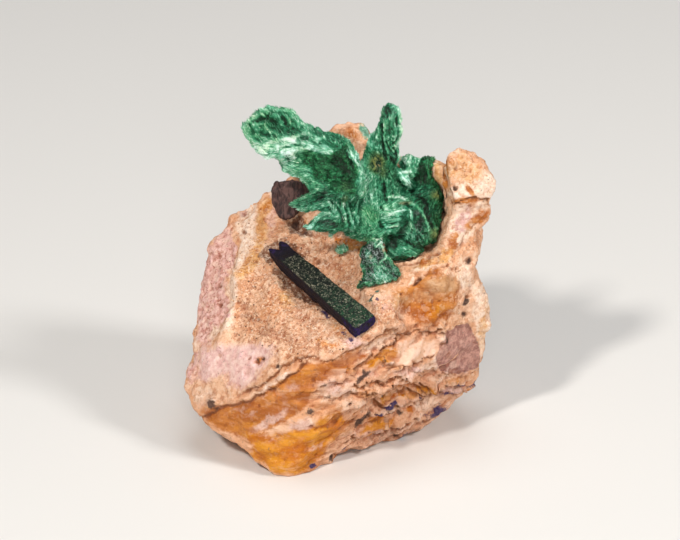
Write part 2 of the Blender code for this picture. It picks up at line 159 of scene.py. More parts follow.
class Shader:
    def __init__(self, name):
        self.material = bpy.data.materials.new(name)
        self.material.use_nodes = True
        self.tree = self.material.node_tree
        self.surface = self.tree.nodes["Principled BSDF"]
        self.place = self.node("ShaderNodeTexCoord", output="Object")

    def node(self, kind, settings=None, values=None, output=0):
        made = self.tree.nodes.new(kind)
        for key, value in (settings or {}).items():
            if key == "stops":
                ramp = made.color_ramp
                while len(ramp.elements) < len(value):
                    ramp.elements.new(1.0)
                for stop, (at, colour) in zip(ramp.elements, value):
                    stop.position = at
                    stop.color = (*colour, 1.0)
            else:
                setattr(made, key, value)
        for key, value in (values or {}).items():
            self.give(made.inputs[key], value)
        return Wire(self, made.outputs[output])

    def give(self, socket, value):
        if isinstance(value, Wire):
            self.tree.links.new(value.socket, socket)
        elif isinstance(value, tuple) and socket.type == "RGBA":
            socket.default_value = (*value, 1.0)
        else:
            socket.default_value = value

    def set(self, **values):
        for key, value in values.items():
            self.give(self.surface.inputs[key.replace("_", " ")], value)
        return self.material

    def mix(self, share, a, b, blend="MIX"):
        settings = {"data_type": "RGBA", "blend_type": blend}
        return self.node("ShaderNodeMix", settings, {0: share, 6: a, 7: b}, output=2)

    def mask(self, name):
        return self.node("ShaderNodeAttribute", {"attribute_name": name}, output="Fac")

    def noise(self, size, detail=3.0, roughness=0.55, where=None):
        # size of the lumps in mm
        values = {"Scale": 1000 / size, "Detail": detail, "Roughness": roughness}
        return self.node("ShaderNodeTexNoise", {}, {"Vector": where or self.place, **values})

    def cells(self, size, feature="F1", output="Distance", where=None):
        values = {"Vector": where or self.place, "Scale": 1000 / size}
        return self.node("ShaderNodeTexVoronoi", {"feature": feature}, values, output)

    def shaken(self, amount, size):
        # object coordinates shaken by this much, in mm
        values = {"Vector": self.place, "Scale": 1000 / size, "Detail": 2.0}
        colour = self.node("ShaderNodeTexNoise", {}, values, output="Color")
        centred = self.vector("SUBTRACT", {0: colour, 1: (0.5, 0.5, 0.5)})
        small = self.vector("SCALE", {0: centred, "Scale": amount * 4 * mm})
        return self.vector("ADD", {0: self.place, 1: small})

    def vector(self, operation, values):
        return self.node("ShaderNodeVectorMath", {"operation": operation}, values)

    def picked(self, size, where):
        # one random number for each cell of this size
        colour = self.cells(size, output="Color", where=where)
        return self.node("ShaderNodeSeparateColor", {}, {"Color": colour})

    def stretched(self, turn, scale):
        # object coordinates turned (degrees) and stretched, for streaks
        values = {"Vector": self.place, "Rotation": tuple(math.radians(a) for a in turn), "Scale": scale}
        return self.node("ShaderNodeMapping", {}, values)

    def bump(self, height, strength, depth, under=None):
        values = {"Height": height, "Strength": strength, "Distance": depth * mm}
        if under:
            values["Normal"] = under
        return self.node("ShaderNodeBump", {}, values)


def hashed(cell, seed):
    # a number from 0 to 1 for each whole-number cell
    x, y, z = cell[..., 0], cell[..., 1], cell[..., 2]
    h = (x * 73856093) ^ (y * 19349663) ^ (z * 83492791) ^ (seed * 2654435761)
    h = (h ^ (h >> 15)) * 2246822519 & 0xFFFFFFFF
    h = (h ^ (h >> 13)) * 3266489917 & 0xFFFFFFFF
    return ((h ^ (h >> 16)) & 0xFFFFFF) / 0xFFFFFF


def blur(points, seed):
    cell = np.floor(points).astype(np.int64)
    t = points - cell
    t = t * t * t * (t * (t * 6 - 15) + 10)
    total = np.zeros(len(points))
    for dx in (0, 1):
        for dy in (0, 1):
            for dz in (0, 1):
                share = (t[:, 0] if dx else 1 - t[:, 0]) * (t[:, 1] if dy else 1 - t[:, 1])
                share = share * (t[:, 2] if dz else 1 - t[:, 2])
                total += share * hashed(cell + np.array([dx, dy, dz]), seed)
    return total * 2 - 1


def rough(points, size, octaves=3, seed=0, fade=0.55):
    # fractal noise, about -1 to 1, with lumps of this size in mm
    total, weight, whole = 0.0, 1.0, 0.0
    for i in range(octaves):
        total = total + weight * blur(points / size * 2 ** i + 17.3 * (i + seed), seed * 7 + i)
        whole += weight
        weight *= fade
    return total / whole * 1.6


def cellsOf(points, size, seed=0):
    # distance to the nearest and next cell's middle, in cells, the nearest one's number and its middle
    scaled = points / size
    base = np.floor(scaled).astype(np.int64)
    near = np.full(len(points), 9.0)
    after = np.full(len(points), 9.0)
    who = np.zeros(len(points))
    middle = np.zeros((len(points), 3))
    for dx in (-1, 0, 1):
        for dy in (-1, 0, 1):
            for dz in (-1, 0, 1):
                cell = base + np.array([dx, dy, dz])
                place = cell + np.stack([hashed(cell, seed + k) for k in (1, 2, 3)], 1)
                d = np.linalg.norm(scaled - place, axis=1)
                closer = d < near
                after = np.where(closer, near, np.minimum(after, d))
                who = np.where(closer, hashed(cell, seed + 4), who)
                middle = np.where(closer[:, None], place, middle)
                near = np.where(closer, d, near)
    return near, after, who, middle * size


def ease(low, high, value):
    t = np.clip((value - low) / (high - low), 0.0, 1.0)
    return t * t * (3 - 2 * t)


def solidCopy(node, name):
    # the CAD node's triangles, merged into one skin
    copy = bpy.data.objects.new(name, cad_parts[node].data.copy())
    bpy.context.scene.collection.objects.link(copy)
    copy.data.materials.clear()
    bm = bmesh.new()
    bm.from_mesh(copy.data)
    bmesh.ops.remove_doubles(bm, verts=bm.verts, dist=1e-6)
    bm.to_mesh(copy.data)
    bm.free()
    return copy


def settle(piece):
    # applies the piece's modifiers
    graph = bpy.context.evaluated_depsgraph_get()
    mesh = bpy.data.meshes.new_from_object(piece.evaluated_get(graph))
    piece.modifiers.clear()
    piece.data = mesh
    mesh.name = piece.name


def reskin(piece, cell, soften):
    # one even skin of small faces
    remesh = piece.modifiers.new("reskin", "REMESH")
    remesh.mode = "VOXEL"
    remesh.voxel_size = cell * mm
    if soften:
        smooth = piece.modifiers.new("soften", "SMOOTH")
        smooth.factor = 0.5
        smooth.iterations = soften
    settle(piece)


def pointsOf(piece):
    mesh = piece.data
    points = np.empty(len(mesh.vertices) * 3, np.float32)
    mesh.vertices.foreach_get("co", points)
    normals = np.empty(len(mesh.vertices) * 3, np.float32)
    mesh.vertices.foreach_get("normal", normals)
    return points.reshape(-1, 3).astype(float) / mm, normals.reshape(-1, 3).astype(float)


def putPoints(piece, points):
    # keeps the piece inside the solids' box
    low, high = (np.array(corner) / mm for corner in cadBox)
    points = np.clip(points, low + 0.02, high - 0.02)
    piece.data.vertices.foreach_set("co", (points * mm).astype(np.float32).ravel())
    piece.data.update()


def keep(piece, name, values):
    # a number or a direction for each point, for the shader and the scatterers
    values = np.asarray(values, np.float32)
    kind = "FLOAT_VECTOR" if values.ndim == 2 else "FLOAT"
    layer = piece.data.attributes.new(name, kind, "POINT")
    layer.data.foreach_set("vector" if values.ndim == 2 else "value", values.ravel())


def neighbours(piece, points):
    # the middle of each point's neighbours
    mesh = piece.data
    pairs = np.empty(len(mesh.edges) * 2, np.int32)
    mesh.edges.foreach_get("vertices", pairs)
    a, b = pairs.reshape(-1, 2).T
    n = len(points)
    count = np.bincount(a, minlength=n) + np.bincount(b, minlength=n)
    sums = [np.bincount(a, points[b, k], n) + np.bincount(b, points[a, k], n) for k in range(3)]
    return np.stack(sums, 1) / count[:, None]


def sunkness(piece, passes):
    # how far each point lies below the points around it, in mm
    points, normals = pointsOf(piece)
    middle = points
    for _ in range(passes):
        middle = neighbours(piece, middle)
    return np.sum((middle - points) * normals, axis=1)


def kept(piece, name):
    # reads the numbers back that were kept for each point
    values = np.empty(len(piece.data.vertices), np.float32)
    piece.data.attributes[name].data.foreach_get("value", values)
    return values.astype(float)


def wobble(points, size, octaves, seed):
    # three rough numbers for each point, from this seed on
    return np.stack([rough(points, size, octaves, seed + k) for k in range(3)], 1)


def lineDistance(pixels, line):
    # signed distance in pixels to a chain drawn left to right, above it positive
    best = np.full(len(pixels), 1e9)
    side = np.ones(len(pixels))
    for start, end in zip(line, line[1:]):
        start, end = np.array(start, float), np.array(end, float)
        along = end - start
        t = np.clip((pixels - start) @ along / (along @ along), 0, 1)
        gap = pixels - start - t[:, None] * along
        d = np.hypot(gap[:, 0], gap[:, 1])
        cross = along[0] * gap[:, 1] - along[1] * gap[:, 0]
        side = np.where(d < best, np.where(cross < 0, 1.0, -1.0), side)
        best = np.minimum(best, d)
    return best * side


def inside(pixels, outline, soft):
    # 1 inside a closed outline and 0 outside, over this many pixels
    best = np.full(len(pixels), 1e9)
    odd = np.zeros(len(pixels), bool)
    for start, end in zip(outline, outline[1:] + outline[:1]):
        start, end = np.array(start, float), np.array(end, float)
        along = end - start
        t = np.clip((pixels - start) @ along / (along @ along), 0, 1)
        best = np.minimum(best, np.linalg.norm(pixels - start - t[:, None] * along, axis=1))
        crossed = (start[1] > pixels[:, 1]) != (end[1] > pixels[:, 1])
        at = start[0] + (pixels[:, 1] - start[1]) * along[0] / (along[1] or 1e-9)
        odd ^= crossed & (pixels[:, 0] < at)
    return ease(-soft, soft, np.where(odd, best, -best))


rockLook = {
    "cell": 0.33,  # mm
    "soften": 3,
    "sand": (0.78, 0.40, 0.22),
    "sandPale": (0.89, 0.55, 0.36),
    "sandDeep": (0.60, 0.27, 0.13),
    "cream": [(0.98, 0.78, 0.64), (0.91, 0.63, 0.45)],
    "honey": [(0.84, 0.49, 0.22), (0.72, 0.32, 0.09)],
    "dusk": [(0.66, 0.33, 0.20), (0.50, 0.22, 0.115)],
    "rose": [(0.920, 0.610, 0.542), (0.700, 0.349, 0.305)],
    "lilac": [(0.88, 0.64, 0.58), (0.76, 0.44, 0.41)],
    "mauve": [(0.58, 0.31, 0.255), (0.32, 0.145, 0.120)],
    "ochre": [(0.60, 0.215, 0.036), (0.39, 0.100, 0.012)],
    "gold": [(0.71, 0.28, 0.008), (0.52, 0.14, 0.003)],
    "orange": [(0.93, 0.40, 0.11), (0.74, 0.24, 0.05)],
    "milky": [(0.80, 0.55, 0.46), (0.60, 0.32, 0.24)],
    "dun": [(0.66, 0.37, 0.19), (0.50, 0.24, 0.095)],
    "shade": [(0.25, 0.105, 0.055), (0.13, 0.050, 0.028)],
    "umber": [(0.045, 0.024, 0.020), (0.13, 0.070, 0.050)],
    "blue": [(0.018, 0.011, 0.085), (0.080, 0.055, 0.130)],
    "green": [(0.03, 0.17, 0.12), (0.02, 0.08, 0.08)],
    "mint": [(0.36, 0.62, 0.48), (0.10, 0.33, 0.22)],
    "beds": [(0.50, 0.22, 0.10), (0.93, 0.66, 0.49)],
    "bedTint": (0.86, 0.76, 0.72),
    "plates": [(0.66, 0.34, 0.19), (0.93, 0.66, 0.52)],
    # painted shade under the ledges, orange-brown
    "under": [(0.62, 0.24, 0.05), (0.34, 0.11, 0.03)],
    "wax": [(0.36, 0.100, 0.010), (0.84, 0.44, 0.12)],
    "hollowShadeTint": (0.52, 0.30, 0.20),
    "ridgeHighlightTint": (1.07, 1.14, 1.22),
    "grit": [(0.66, 0.46, 0.34), (0.98, 0.78, 0.60)],
    "fine": [(0.62, 0.40, 0.28), (0.98, 0.82, 0.66)],
    "dust": [(0.52, 0.31, 0.21), (1.0, 0.84, 0.68)],
    "speck": (0.30, 0.13, 0.06),
    "freckle": (0.38, 0.14, 0.10),
    # painted shade in creases, cracks, pits and under knobs and ledges
    "crease": (0.20, 0.070, 0.030),
    # the upper edge of the ledged front: across and up the view, in mm
    "frontEdge": [
        (-22, 8), (-15.3, 8.7), (-8, 12.1), (-3.2, 15), (4, 16.8), (8.9, 20.3), (12.9, 21.6),
        (19, 20.4), (24, 12), (30, 12),
    ],
    # ledges: lip above the line and undercut below it (mm), reach up and down (pixels), line
    "ledges": [
        (0.30, 0.55, 6, 5, [(203, 417), (220, 406), (246, 401), (262, 393), (283, 380), (303, 363)]),
        (0.35, 0.45, 5, 4, [
            (246, 391), (267, 380), (284, 364), (302, 356), (315, 357), (330, 361), (342, 353),
            (369, 341), (387, 331), (397, 328),
        ]),
        (0.40, 0.55, 5, 5, [(352, 368), (365, 361), (372, 355), (387, 348), (397, 339)]),
        (0.40, 0.45, 5, 4, [(387, 365), (397, 368), (407, 364), (419, 361), (434, 354)]),
        (0.45, 0.50, 5, 4, [(356, 385), (375, 383), (396, 379), (400, 377), (412, 381), (433, 391)]),
        (0.50, 0.60, 5, 4, [
            (362, 393), (371, 392), (381, 394), (394, 388), (410, 389), (426, 392), (436, 390),
        ]),
        (0.50, 0.60, 5, 4, [
            (377, 399), (383, 404), (405, 402), (419, 398), (433, 390), (448, 384), (461, 383),
        ]),
        (0.40, 0.45, 4, 4, [(402, 404), (417, 401), (430, 397), (454, 393), (469, 389)]),
        (0.40, 0.50, 5, 5, [(352, 421), (366, 417), (382, 415), (392, 410)]),
        (0.35, 0.45, 5, 4, [(386, 428), (397, 425), (417, 421), (427, 419), (440, 411)]),
        (0.35, 0.45, 5, 4, [(345, 440), (356, 436), (372, 434), (387, 431), (405, 424)]),
        (0.25, 0.30, 3, 4, [(398, 264), (410, 263), (421, 260), (432, 256), (444, 252)]),
        (0.16, 0.34, 4, 6, [(425, 272), (431, 269), (447, 264), (456, 268)]),
        (0.25, 0.45, 4, 4, [(395, 334), (410, 332), (424, 331), (437, 329), (447, 332)]),
        (0.30, 0.40, 4, 4, [(340, 396), (352, 392), (360, 396), (372, 398)]),
        (0.25, 0.35, 4, 4, [(398, 372), (410, 371), (420, 373), (433, 369)]),
        (0.20, 0.30, 4, 4, [(438, 372), (459, 375), (470, 374), (482, 368)]),
        (0.22, 0.22, 5, 5, [(300, 394), (318, 388), (330, 383), (348, 380)]),
        (0.12, 0.10, 5, 5, [(293, 440), (312, 431), (330, 422), (345, 416)]),
        (0.10, 0.08, 4, 6, [(446, 178), (455, 180), (464, 184), (472, 187)]),
        (0.12, 0.16, 3, 4, [(462, 232), (470, 226), (478, 220), (488, 214)]),
        (0.10, 0.16, 3, 4, [(446, 262), (456, 250), (462, 240), (466, 232)]),
        (0.10, 0.55, 3, 2, [(452, 202), (462, 201), (478, 199), (489, 198)]),
    ],
    # pits: middle and radius in pixels, depth in mm
    "pits": [
        (455, 189, 2.6, 0.9), (468, 297, 2.6, 0.6), (415, 284, 3.0, 0.9), (418, 278, 3.0, 0.9),
        (469, 261, 4.4, 0.8), (465, 315, 3.0, 0.6), (256, 361, 2.4, 0.8), (262, 358, 2.0, 0.8),
        (277, 366, 2.4, 0.9), (300, 361, 1.8, 0.6), (256, 390, 1.8, 0.5), (296, 340, 1.5, 0.5),
        (296, 224, 5.0, 1.6), (303, 231, 3.2, 1.0), (244, 213, 2.6, 0.5), (244, 232, 3.0, 0.5),
        (255, 261, 2.0, 0.5), (218, 286, 2.6, 0.5), (220, 305, 2.8, 0.5), (238, 301, 2.2, 0.4),
        (333, 457, 3.5, 0.6), (397, 437, 3.0, 0.8), (442, 195, 3.5, 0.9), (441, 213, 4.0, 0.9),
        (402, 294, 1.5, 0.5), (432, 302, 1.4, 0.5), (439, 302, 1.4, 0.5), (410, 402, 2.0, 0.5),
        (350, 405, 1.8, 0.5), (388, 250, 4.0, 0.9), (331, 225, 5.0, 0.8), (318, 262, 3.5, 0.6),
        (384, 395, 2.0, 0.6),
    ],
    # small things that stand out: middle and radius in pixels, height in mm
    "knobs": [
        (443, 338, 5.0, 0.8), (389, 363, 4.2, 0.7), (352, 371, 4.0, 0.5), (341, 378, 3.5, 0.4),
        (213, 403, 5.5, 0.35), (310, 412, 3.6, 0.3), (433, 388, 4.0, 0.4), (269, 292, 5.0, 0.25),
        (452, 163, 5.0, 0.3), (457, 240, 5.0, 0.35), (421, 250, 5.0, 0.4), (333, 243, 5.0, 0.3),
        (318, 244, 6.0, 0.4), (374, 300, 6.0, 0.2),
    ],
    # stains by kind: middle, half length and half width (pixels), turn (degrees, up to the right),
    # strength
    "stains": {
        # darker sand, and painted shadow beside the bar and under the spray
        "dusk": [
            (316, 343, 34, 12, 6, 0.6), (206, 404, 14, 8, 30, 0.6), (268, 302, 12, 20, 0, 0.35),
            (300, 252, 16, 8, -40, 0.6), (332, 264, 14, 8, -40, 0.6), (346, 282, 8, 14, 0, 0.5),
            (292, 330, 22, 8, -40, 0.45), (268, 276, 9, 5, 10, 0.6), (318, 236, 16, 6, -10, 0.5),
            (386, 345, 20, 6, 20, 0.3), (396, 312, 8, 10, 0, 0.4), (446, 284, 16, 7, 10, 0.6),
            (444, 226, 8, 20, 0, 0.5), (460, 168, 9, 7, 0, 0.8), (304, 318, 30, 9, -44, 0.7),
            (252, 318, 12, 3.5, -20, 0.8), (243, 308, 4, 8, 0, 0.7), (400, 436, 40, 9, 12, 0.7),
            (420, 424, 20, 5, 16, 0.5), (282, 336, 26, 8, -10, 0.7), (210, 410, 14, 6, 20, 0.6),
        ],
        "rose": [
            (222, 245, 22, 9, 70, 0.9), (216, 268, 22, 13, 74, 1.1), (210, 300, 26, 13, 82, 1.1),
            (205, 330, 20, 9, 86, 0.9), (222, 290, 18, 5, 84, 0.6), (191, 378, 8, 5, 60, 0.6),
        ],
        "lilac": [
            (222, 362, 20, 13, 0, 1.1), (243, 372, 16, 14, 20, 1.1), (262, 352, 18, 8, -10, 0.5),
            (205, 352, 10, 8, 0, 0.5), (240, 385, 10, 5, 30, 0.8), (271, 216, 8, 22, 0, 0.5),
            (262, 246, 7, 18, -10, 0.4), (244, 213, 5, 4, 0, 0.8), (452, 366, 16, 8, -8, 1.0),
            (410, 372, 18, 5, 8, 0.7), (452, 391, 18, 4, 12, 0.8), (292, 388, 12, 5, 0, 0.7),
            (366, 375, 14, 5, 10, 0.5), (372, 432, 24, 6, 12, 0.6), (320, 384, 16, 7, 20, 0.4),
            (386, 303, 14, 12, 0, 0.4), (352, 342, 10, 7, 10, 0.8), (340, 300, 6, 10, -40, 0.3),
            (440, 395, 10, 4, 10, 0.6), (462, 220, 15, 6, 60, 1.1),
        ],
        "cream": [
            (248, 214, 12, 5, 40, 1.0), (253, 236, 20, 6, 68, 1.1), (240, 262, 22, 5, 66, 1.2),
            (232, 290, 20, 4, 88, 1.2), (229, 315, 16, 4, 84, 1.1), (216, 330, 18, 6, 40, 1.1),
            (200, 400, 18, 10, -62, 0.5), (198, 345, 14, 5, 84, 0.6), (272, 192, 3, 8, 0, 1.0),
            (484, 362, 12, 4, 80, 0.9), (435, 358, 13, 1.5, -84, 1.3), (425, 368, 16, 6, 10, 0.8),
            (275, 384, 30, 4, 33, 0.9), (303, 425, 14, 6, 12, 0.9), (328, 392, 12, 10, 20, 0.8),
            (345, 392, 14, 8, 20, 0.7), (460, 225, 12, 24, -10, 1.0), (482, 206, 10, 4, 10, 0.9),
            (465, 275, 8, 18, 0, 0.9), (436, 172, 4, 18, 0, 0.9), (348, 405, 18, 6, 10, 0.7),
            (398, 408, 16, 5, 14, 0.7), (425, 405, 18, 6, 16, 0.8), (236, 352, 12, 5, 0, 0.5),
            (331, 339, 12, 5, 10, 0.5), (372, 347, 18, 4, 22, 0.9), (443, 337, 4, 4, 0, 1.3),
            (389, 363, 3.5, 3.5, 0, 1.3), (430, 265, 22, 4, 20, 1.0), (352, 310, 4, 10, 0, 0.4),
            (487, 180, 8, 13, 0, 0.9), (343, 126, 16, 8, 0, 0.35), (411, 282, 1.6, 6, -24, 1.2),
        ],
        "ochre": [
            (266, 206, 5, 7, 0, 0.9), (453, 242, 5, 8, -10, 0.8), (226, 416, 26, 12, -14, 1.2),
            (268, 402, 32, 10, 20, 1.2), (300, 390, 22, 10, 14, 1.0), (240, 430, 20, 6, -28, 1.0),
            (262, 412, 30, 14, 0, 1.0), (340, 368, 14, 7, 16, 1.1), (353, 355, 10, 4, 20, 1.1),
            (312, 368, 22, 5, 12, 1.0), (386, 352, 14, 3, 30, 0.8), (436, 314, 16, 8, 10, 1.2),
            (405, 298, 12, 8, 0, 0.9), (300, 452, 40, 12, 14, 0.6), (330, 410, 16, 6, 20, 0.5),
            (448, 283, 12, 6, 10, 0.8), (477, 219, 18, 5, 38, 1.0), (470.5, 190.5, 8, 2.4, -55, 1.3),
            (465, 201, 14, 3, 2, 1.1), (445.5, 176, 2.2, 16, -4, 1.5), (450, 160, 5, 7, 0, 0.6),
            (350, 133, 7, 6, 0, 0.7), (424, 262, 7, 3, 12, 1.0), (432, 272, 10, 3, 20, 1.1),
            (456, 235, 3, 3, 0, 1.2), (367, 391, 8, 3, 10, 0.5), (402, 384, 14, 3, 8, 0.7),
            (272, 366, 5, 3, 0, 0.5), (259, 360, 6.5, 4.5, 20, 0.8),
        ],
        "honey": [
            (266, 207, 7, 9, 0, 1.2), (446, 256, 12, 5, 40, 1.0), (428, 263, 14, 4, 20, 0.9),
            (466, 163, 10, 6, 0, 0.5), (286, 300, 12, 7, -50, 0.7), (484, 325, 5, 30, -4, 0.6),
        ],
        "gold": [
            (280, 448, 32, 9, 16, 1.3), (262, 441, 20, 8, -20, 1.1), (310, 440, 24, 8, 22, 1.1),
            (290, 466, 14, 7, 10, 1.1), (337, 430, 16, 6, 24, 1.1), (379, 420, 10, 4, 12, 1.1),
            (397, 401, 16, 3, 8, 1.2), (392, 353, 4, 4, 30, 0.9), (374, 363, 7, 4, 14, 1.0),
            (424, 388, 10, 3, 10, 1.1), (411, 410, 5, 3, 10, 1.1), (456, 380, 12, 3, 8, 0.7),
            (252, 425, 16, 5, 10, 0.6), (320, 340, 8, 3, 20, 0.4), (298, 376, 12, 3, 18, 0.6),
        ],
        "umber": [
            (444.5, 172, 0.9, 10, -4, 0.9), (294, 223, 4, 3, 20, 1.8), (305, 233, 3.5, 2, -30, 1.5),
            (290, 236, 3, 3, 0, 0.6), (362, 377, 10, 2.2, 38, 1.6), (448, 341, 1.2, 4, 20, 1.2),
            (385, 360, 1.2, 4, -10, 1.2), (364, 373, 2, 5, 20, 1.4), (363, 419, 12, 3.0, 52, 1.5),
            (400, 413, 3.5, 2.5, 10, 1.4), (333, 457, 5, 3, 30, 1.5), (213, 403, 5, 5, 0, 1.3),
            (310, 412, 4, 3, 0, 1.3), (325, 386, 3, 2.4, 0, 0.9), (328, 397, 4, 3, 0, 0.8),
            (277, 366, 3, 2, 0, 1.4), (382, 394, 3, 1.6, 0, 1.3), (466, 302, 2, 4.5, -30, 1.7),
            (455, 189, 2.4, 2.4, 0, 1.2), (470, 262, 4, 4.5, 0, 1.0), (465, 315, 3.5, 2.6, 30, 0.9),
            (441, 212, 5, 10, 10, 1.0), (443, 195, 4, 4, 0, 1.5), (439, 228, 5, 10, 0, 0.8),
            (388, 250, 4, 5, 0, 1.0), (397, 437, 4, 2, -20, 1.2), (350, 405, 4, 1.6, 30, 1.0),
            (257, 359, 2.4, 1.6, 0, 1.0), (262, 358, 2, 1.6, 0, 1.1), (330, 248, 10, 5, -20, 0.5),
        ],
        "orange": [
            (292, 283, 5, 3, -45, 0.9), (352, 244, 16, 5, -6, 1.5), (337, 240, 5, 4, 0, 1.3),
            (365, 249, 8, 4, 0, 1.2), (386, 249, 3, 4, 0, 1.2), (340, 330, 12, 8, -40, 0.5),
            (270, 310, 24, 14, -30, 0.3), (306, 222, 5, 4, 0, 0.7), (330, 345, 14, 5, 8, 0.6),
            (275, 395, 10, 5, 10, 0.5),
        ],
        "milky": [
            (270, 421, 20, 4.6, 31, 1.2), (292, 388, 10, 5, 10, 0.5), (301, 425, 14, 6, 12, 0.8),
            (253, 414, 8, 2.4, 14, 0.5), (238, 409, 9, 2.4, 14, 0.5), (334, 388, 9, 9, 0, 0.7),
            (262, 398, 10, 2, 20, 0.4), (285, 405, 5, 4, 30, 0.4), (316, 446, 12, 2, 24, 0.5),
            (276, 440, 12, 1.6, 22, 0.4), (345, 384, 10, 6, 20, 0.6),
        ],
        "dun": [
            (442, 285, 20, 10, 10, 1.0), (400, 300, 12, 8, 0, 0.7), (424, 296, 22, 8, 10, 0.6),
        ],
        # painted shade in the pit on the right and in the ragged hole behind the blade
        "shade": [
            (416.5, 281, 2.6, 6, -28, 1.3), (296, 224, 9, 7, 20, 2.0), (303, 232, 9, 5.5, -30, 1.8),
        ],
        "blue": [
            (326, 314, 6, 2.2, -42, 1.4), (390, 406, 6.5, 2.6, 40, 1.8), (379, 415, 3.0, 1.0, 45, 1.5),
            (419, 398, 4, 1.4, 20, 1.4), (449, 395, 6, 1.2, 22, 1.2), (461, 385, 6, 1.4, -14, 1.2),
            (435, 412, 10, 4.2, 28, 1.8), (352, 340, 2.2, 1.8, 0, 1.5), (313, 466, 3.5, 2.4, 20, 1.6),
            (377, 300, 1.8, 1.8, 0, 1.5), (341, 452, 6, 1.2, 34, 0.9), (344, 333, 5, 2, -40, 1.0),
        ],
        "mint": [
            (367, 130, 5.5, 8, 0, 1.6), (330, 235, 4, 2.6, -60, 1.1),
        ],
        "green": [
            (372, 299, 4.5, 0.8, 60, 1.6), (370, 301, 4, 0.8, -10, 1.5), (377, 291, 3, 1.4, 0, 1.2),
            (340, 250, 6, 4, -20, 0.8),
        ],
    },
    # larger stains by kind: strength, softness (pixels), outline
    "patches": {
        "rose": [
            (1.2, 2, [
                (219, 235), (231, 238), (237, 247), (234, 262), (228, 274), (221, 282), (228, 300),
                (229, 316), (216, 326), (199, 332), (194, 310), (200, 280), (208, 250),
            ]),
            (0.9, 3, [(192, 352), (199, 350), (197, 366), (188, 380), (184, 376)]),
        ],
        "lilac": [
            (0.95, 8, [
                (202, 351), (222, 345), (250, 343), (275, 346), (270, 357), (262, 370), (250, 383),
                (240, 390), (228, 384), (236, 372), (220, 374), (205, 383), (196, 377), (198, 361),
            ]),
            (0.8, 3, [(459, 214), (470, 208), (470, 222), (462, 234), (455, 232)]),
        ],
        "cream": [
            (1.1, 3, [
                (247, 203), (258, 200), (254, 220), (254, 238), (243, 256), (236, 272), (235, 298),
                (232, 320), (216, 333), (204, 337), (214, 325), (229, 316), (229, 298), (229, 275),
                (238, 258), (242, 240), (235, 225),
            ]),
            (0.5, 4, [(192, 386), (210, 384), (218, 398), (222, 404), (207, 417), (198, 402)]),
            (1.1, 4, [
                (468, 282), (488, 289), (491, 320), (485, 345), (485, 372), (480, 352), (477, 326),
                (472, 308), (475, 297),
            ]),
            (0.55, 3, [
                (399, 341), (415, 338), (437, 341), (436, 352), (421, 360), (405, 366), (396, 365),
                (397, 350),
            ]),
            (0.9, 3, [(460, 209), (480, 206), (478, 225), (466, 244), (458, 240), (454, 228)]),
            (0.8, 3, [(449, 188), (470, 180), (497, 176), (496, 197), (455, 198), (447, 196)]),
        ],
        "gold": [
            (1.0, 6, [
                (252, 448), (262, 438), (285, 433), (310, 425), (340, 409), (346, 426), (333, 440),
                (322, 455), (305, 472), (280, 474), (262, 461),
            ]),
            (0.5, 6, [(412, 303), (438, 301), (448, 305), (437, 323), (424, 318)]),
            (0.9, 4, [(366, 363), (389, 347), (397, 350), (394, 358), (380, 366), (369, 369)]),
            (1.0, 3, [
                (377, 395), (392, 394), (421, 392), (434, 388), (428, 395), (405, 400), (381, 402),
            ]),
            (0.9, 4, [(362, 430), (378, 419), (395, 417), (396, 424), (376, 430), (356, 436)]),
        ],
        "ochre": [
            (1.0, 4, [
                (206, 419), (222, 406), (246, 402), (262, 394), (283, 381), (303, 365), (336, 362),
                (336, 374), (312, 384), (308, 404), (290, 420), (262, 432), (236, 436), (222, 430),
            ]),
            (0.95, 7, [
                (391, 293), (404, 289), (420, 277), (440, 273), (455, 277), (461, 286), (455, 306),
                (445, 316), (436, 326), (420, 322), (404, 312), (393, 303),
            ]),
            (1.0, 4, [(336, 366), (359, 352), (366, 356), (347, 368), (336, 373)]),
        ],
        "honey": [
            (0.5, 6, [(442, 160), (462, 150), (484, 168), (474, 188), (450, 180), (444, 190)]),
            (1.05, 5, [
                (258, 214), (266, 214), (266, 236), (262, 254), (252, 272), (240, 280), (234, 276),
                (246, 262), (254, 246),
            ]),
            (0.8, 4, [(433, 162), (442, 158), (442, 190), (434, 196)]),
        ],
    },
    "wallFill": [(19.9, 15.6, 32.7), (1.1, 2.0, 2.0)],  # middle and half sizes in mm
    # outlines of the smooth pale facet, of the mauve one and of the sandy hollow
    "slab": [
        (399, 341), (415, 338), (437, 341), (436, 352), (421, 360), (405, 366), (396, 365), (397, 350),
    ],
    "facet": [
        (439, 345), (448, 330), (469, 324), (480, 346), (482, 366), (459, 374), (440, 371), (435, 356),
    ],
    "hollow": [
        (248, 240), (275, 236), (300, 228), (345, 226), (362, 246), (358, 290), (392, 300), (396, 326),
        (330, 358), (298, 360), (262, 346), (234, 340), (236, 280),
    ],
}


def stainMasks(points, normals):
    pixels = seen(points)
    facing = ease(0.02, 0.30, normals @ towards)
    wander = np.stack([rough(points, 1.4, 4, 21, 0.7), rough(points, 1.4, 4, 22, 0.7)], 1) * 3.4
    moved = pixels + wander
    masks = {}
    for kind, stains in rockLook["stains"].items():
        masks[kind] = np.zeros(len(points))
        for x, y, length, width, turn, strength in stains:
            a = math.radians(turn)
            small = min(length, width) < 4 and kind != "milky"  # small marks stay where they are
            dx, dy = ((pixels + 0.2 * wander if small else moved) - np.array([x, y])).T
            along = dx * math.cos(a) - dy * math.sin(a)
            across = dx * math.sin(a) + dy * math.cos(a)
            spot = strength * np.exp(-((along / length) ** 2 + (across / width) ** 2) ** 1.3)
            masks[kind] = np.maximum(masks[kind], spot * facing)
    for kind, patches in rockLook["patches"].items():
        for strength, soft, outline in patches:
            spot = inside(pixels + 0.8 * wander, outline, soft)
            masks[kind] = np.maximum(masks[kind], strength * spot * facing)
    return masks, pixels, facing


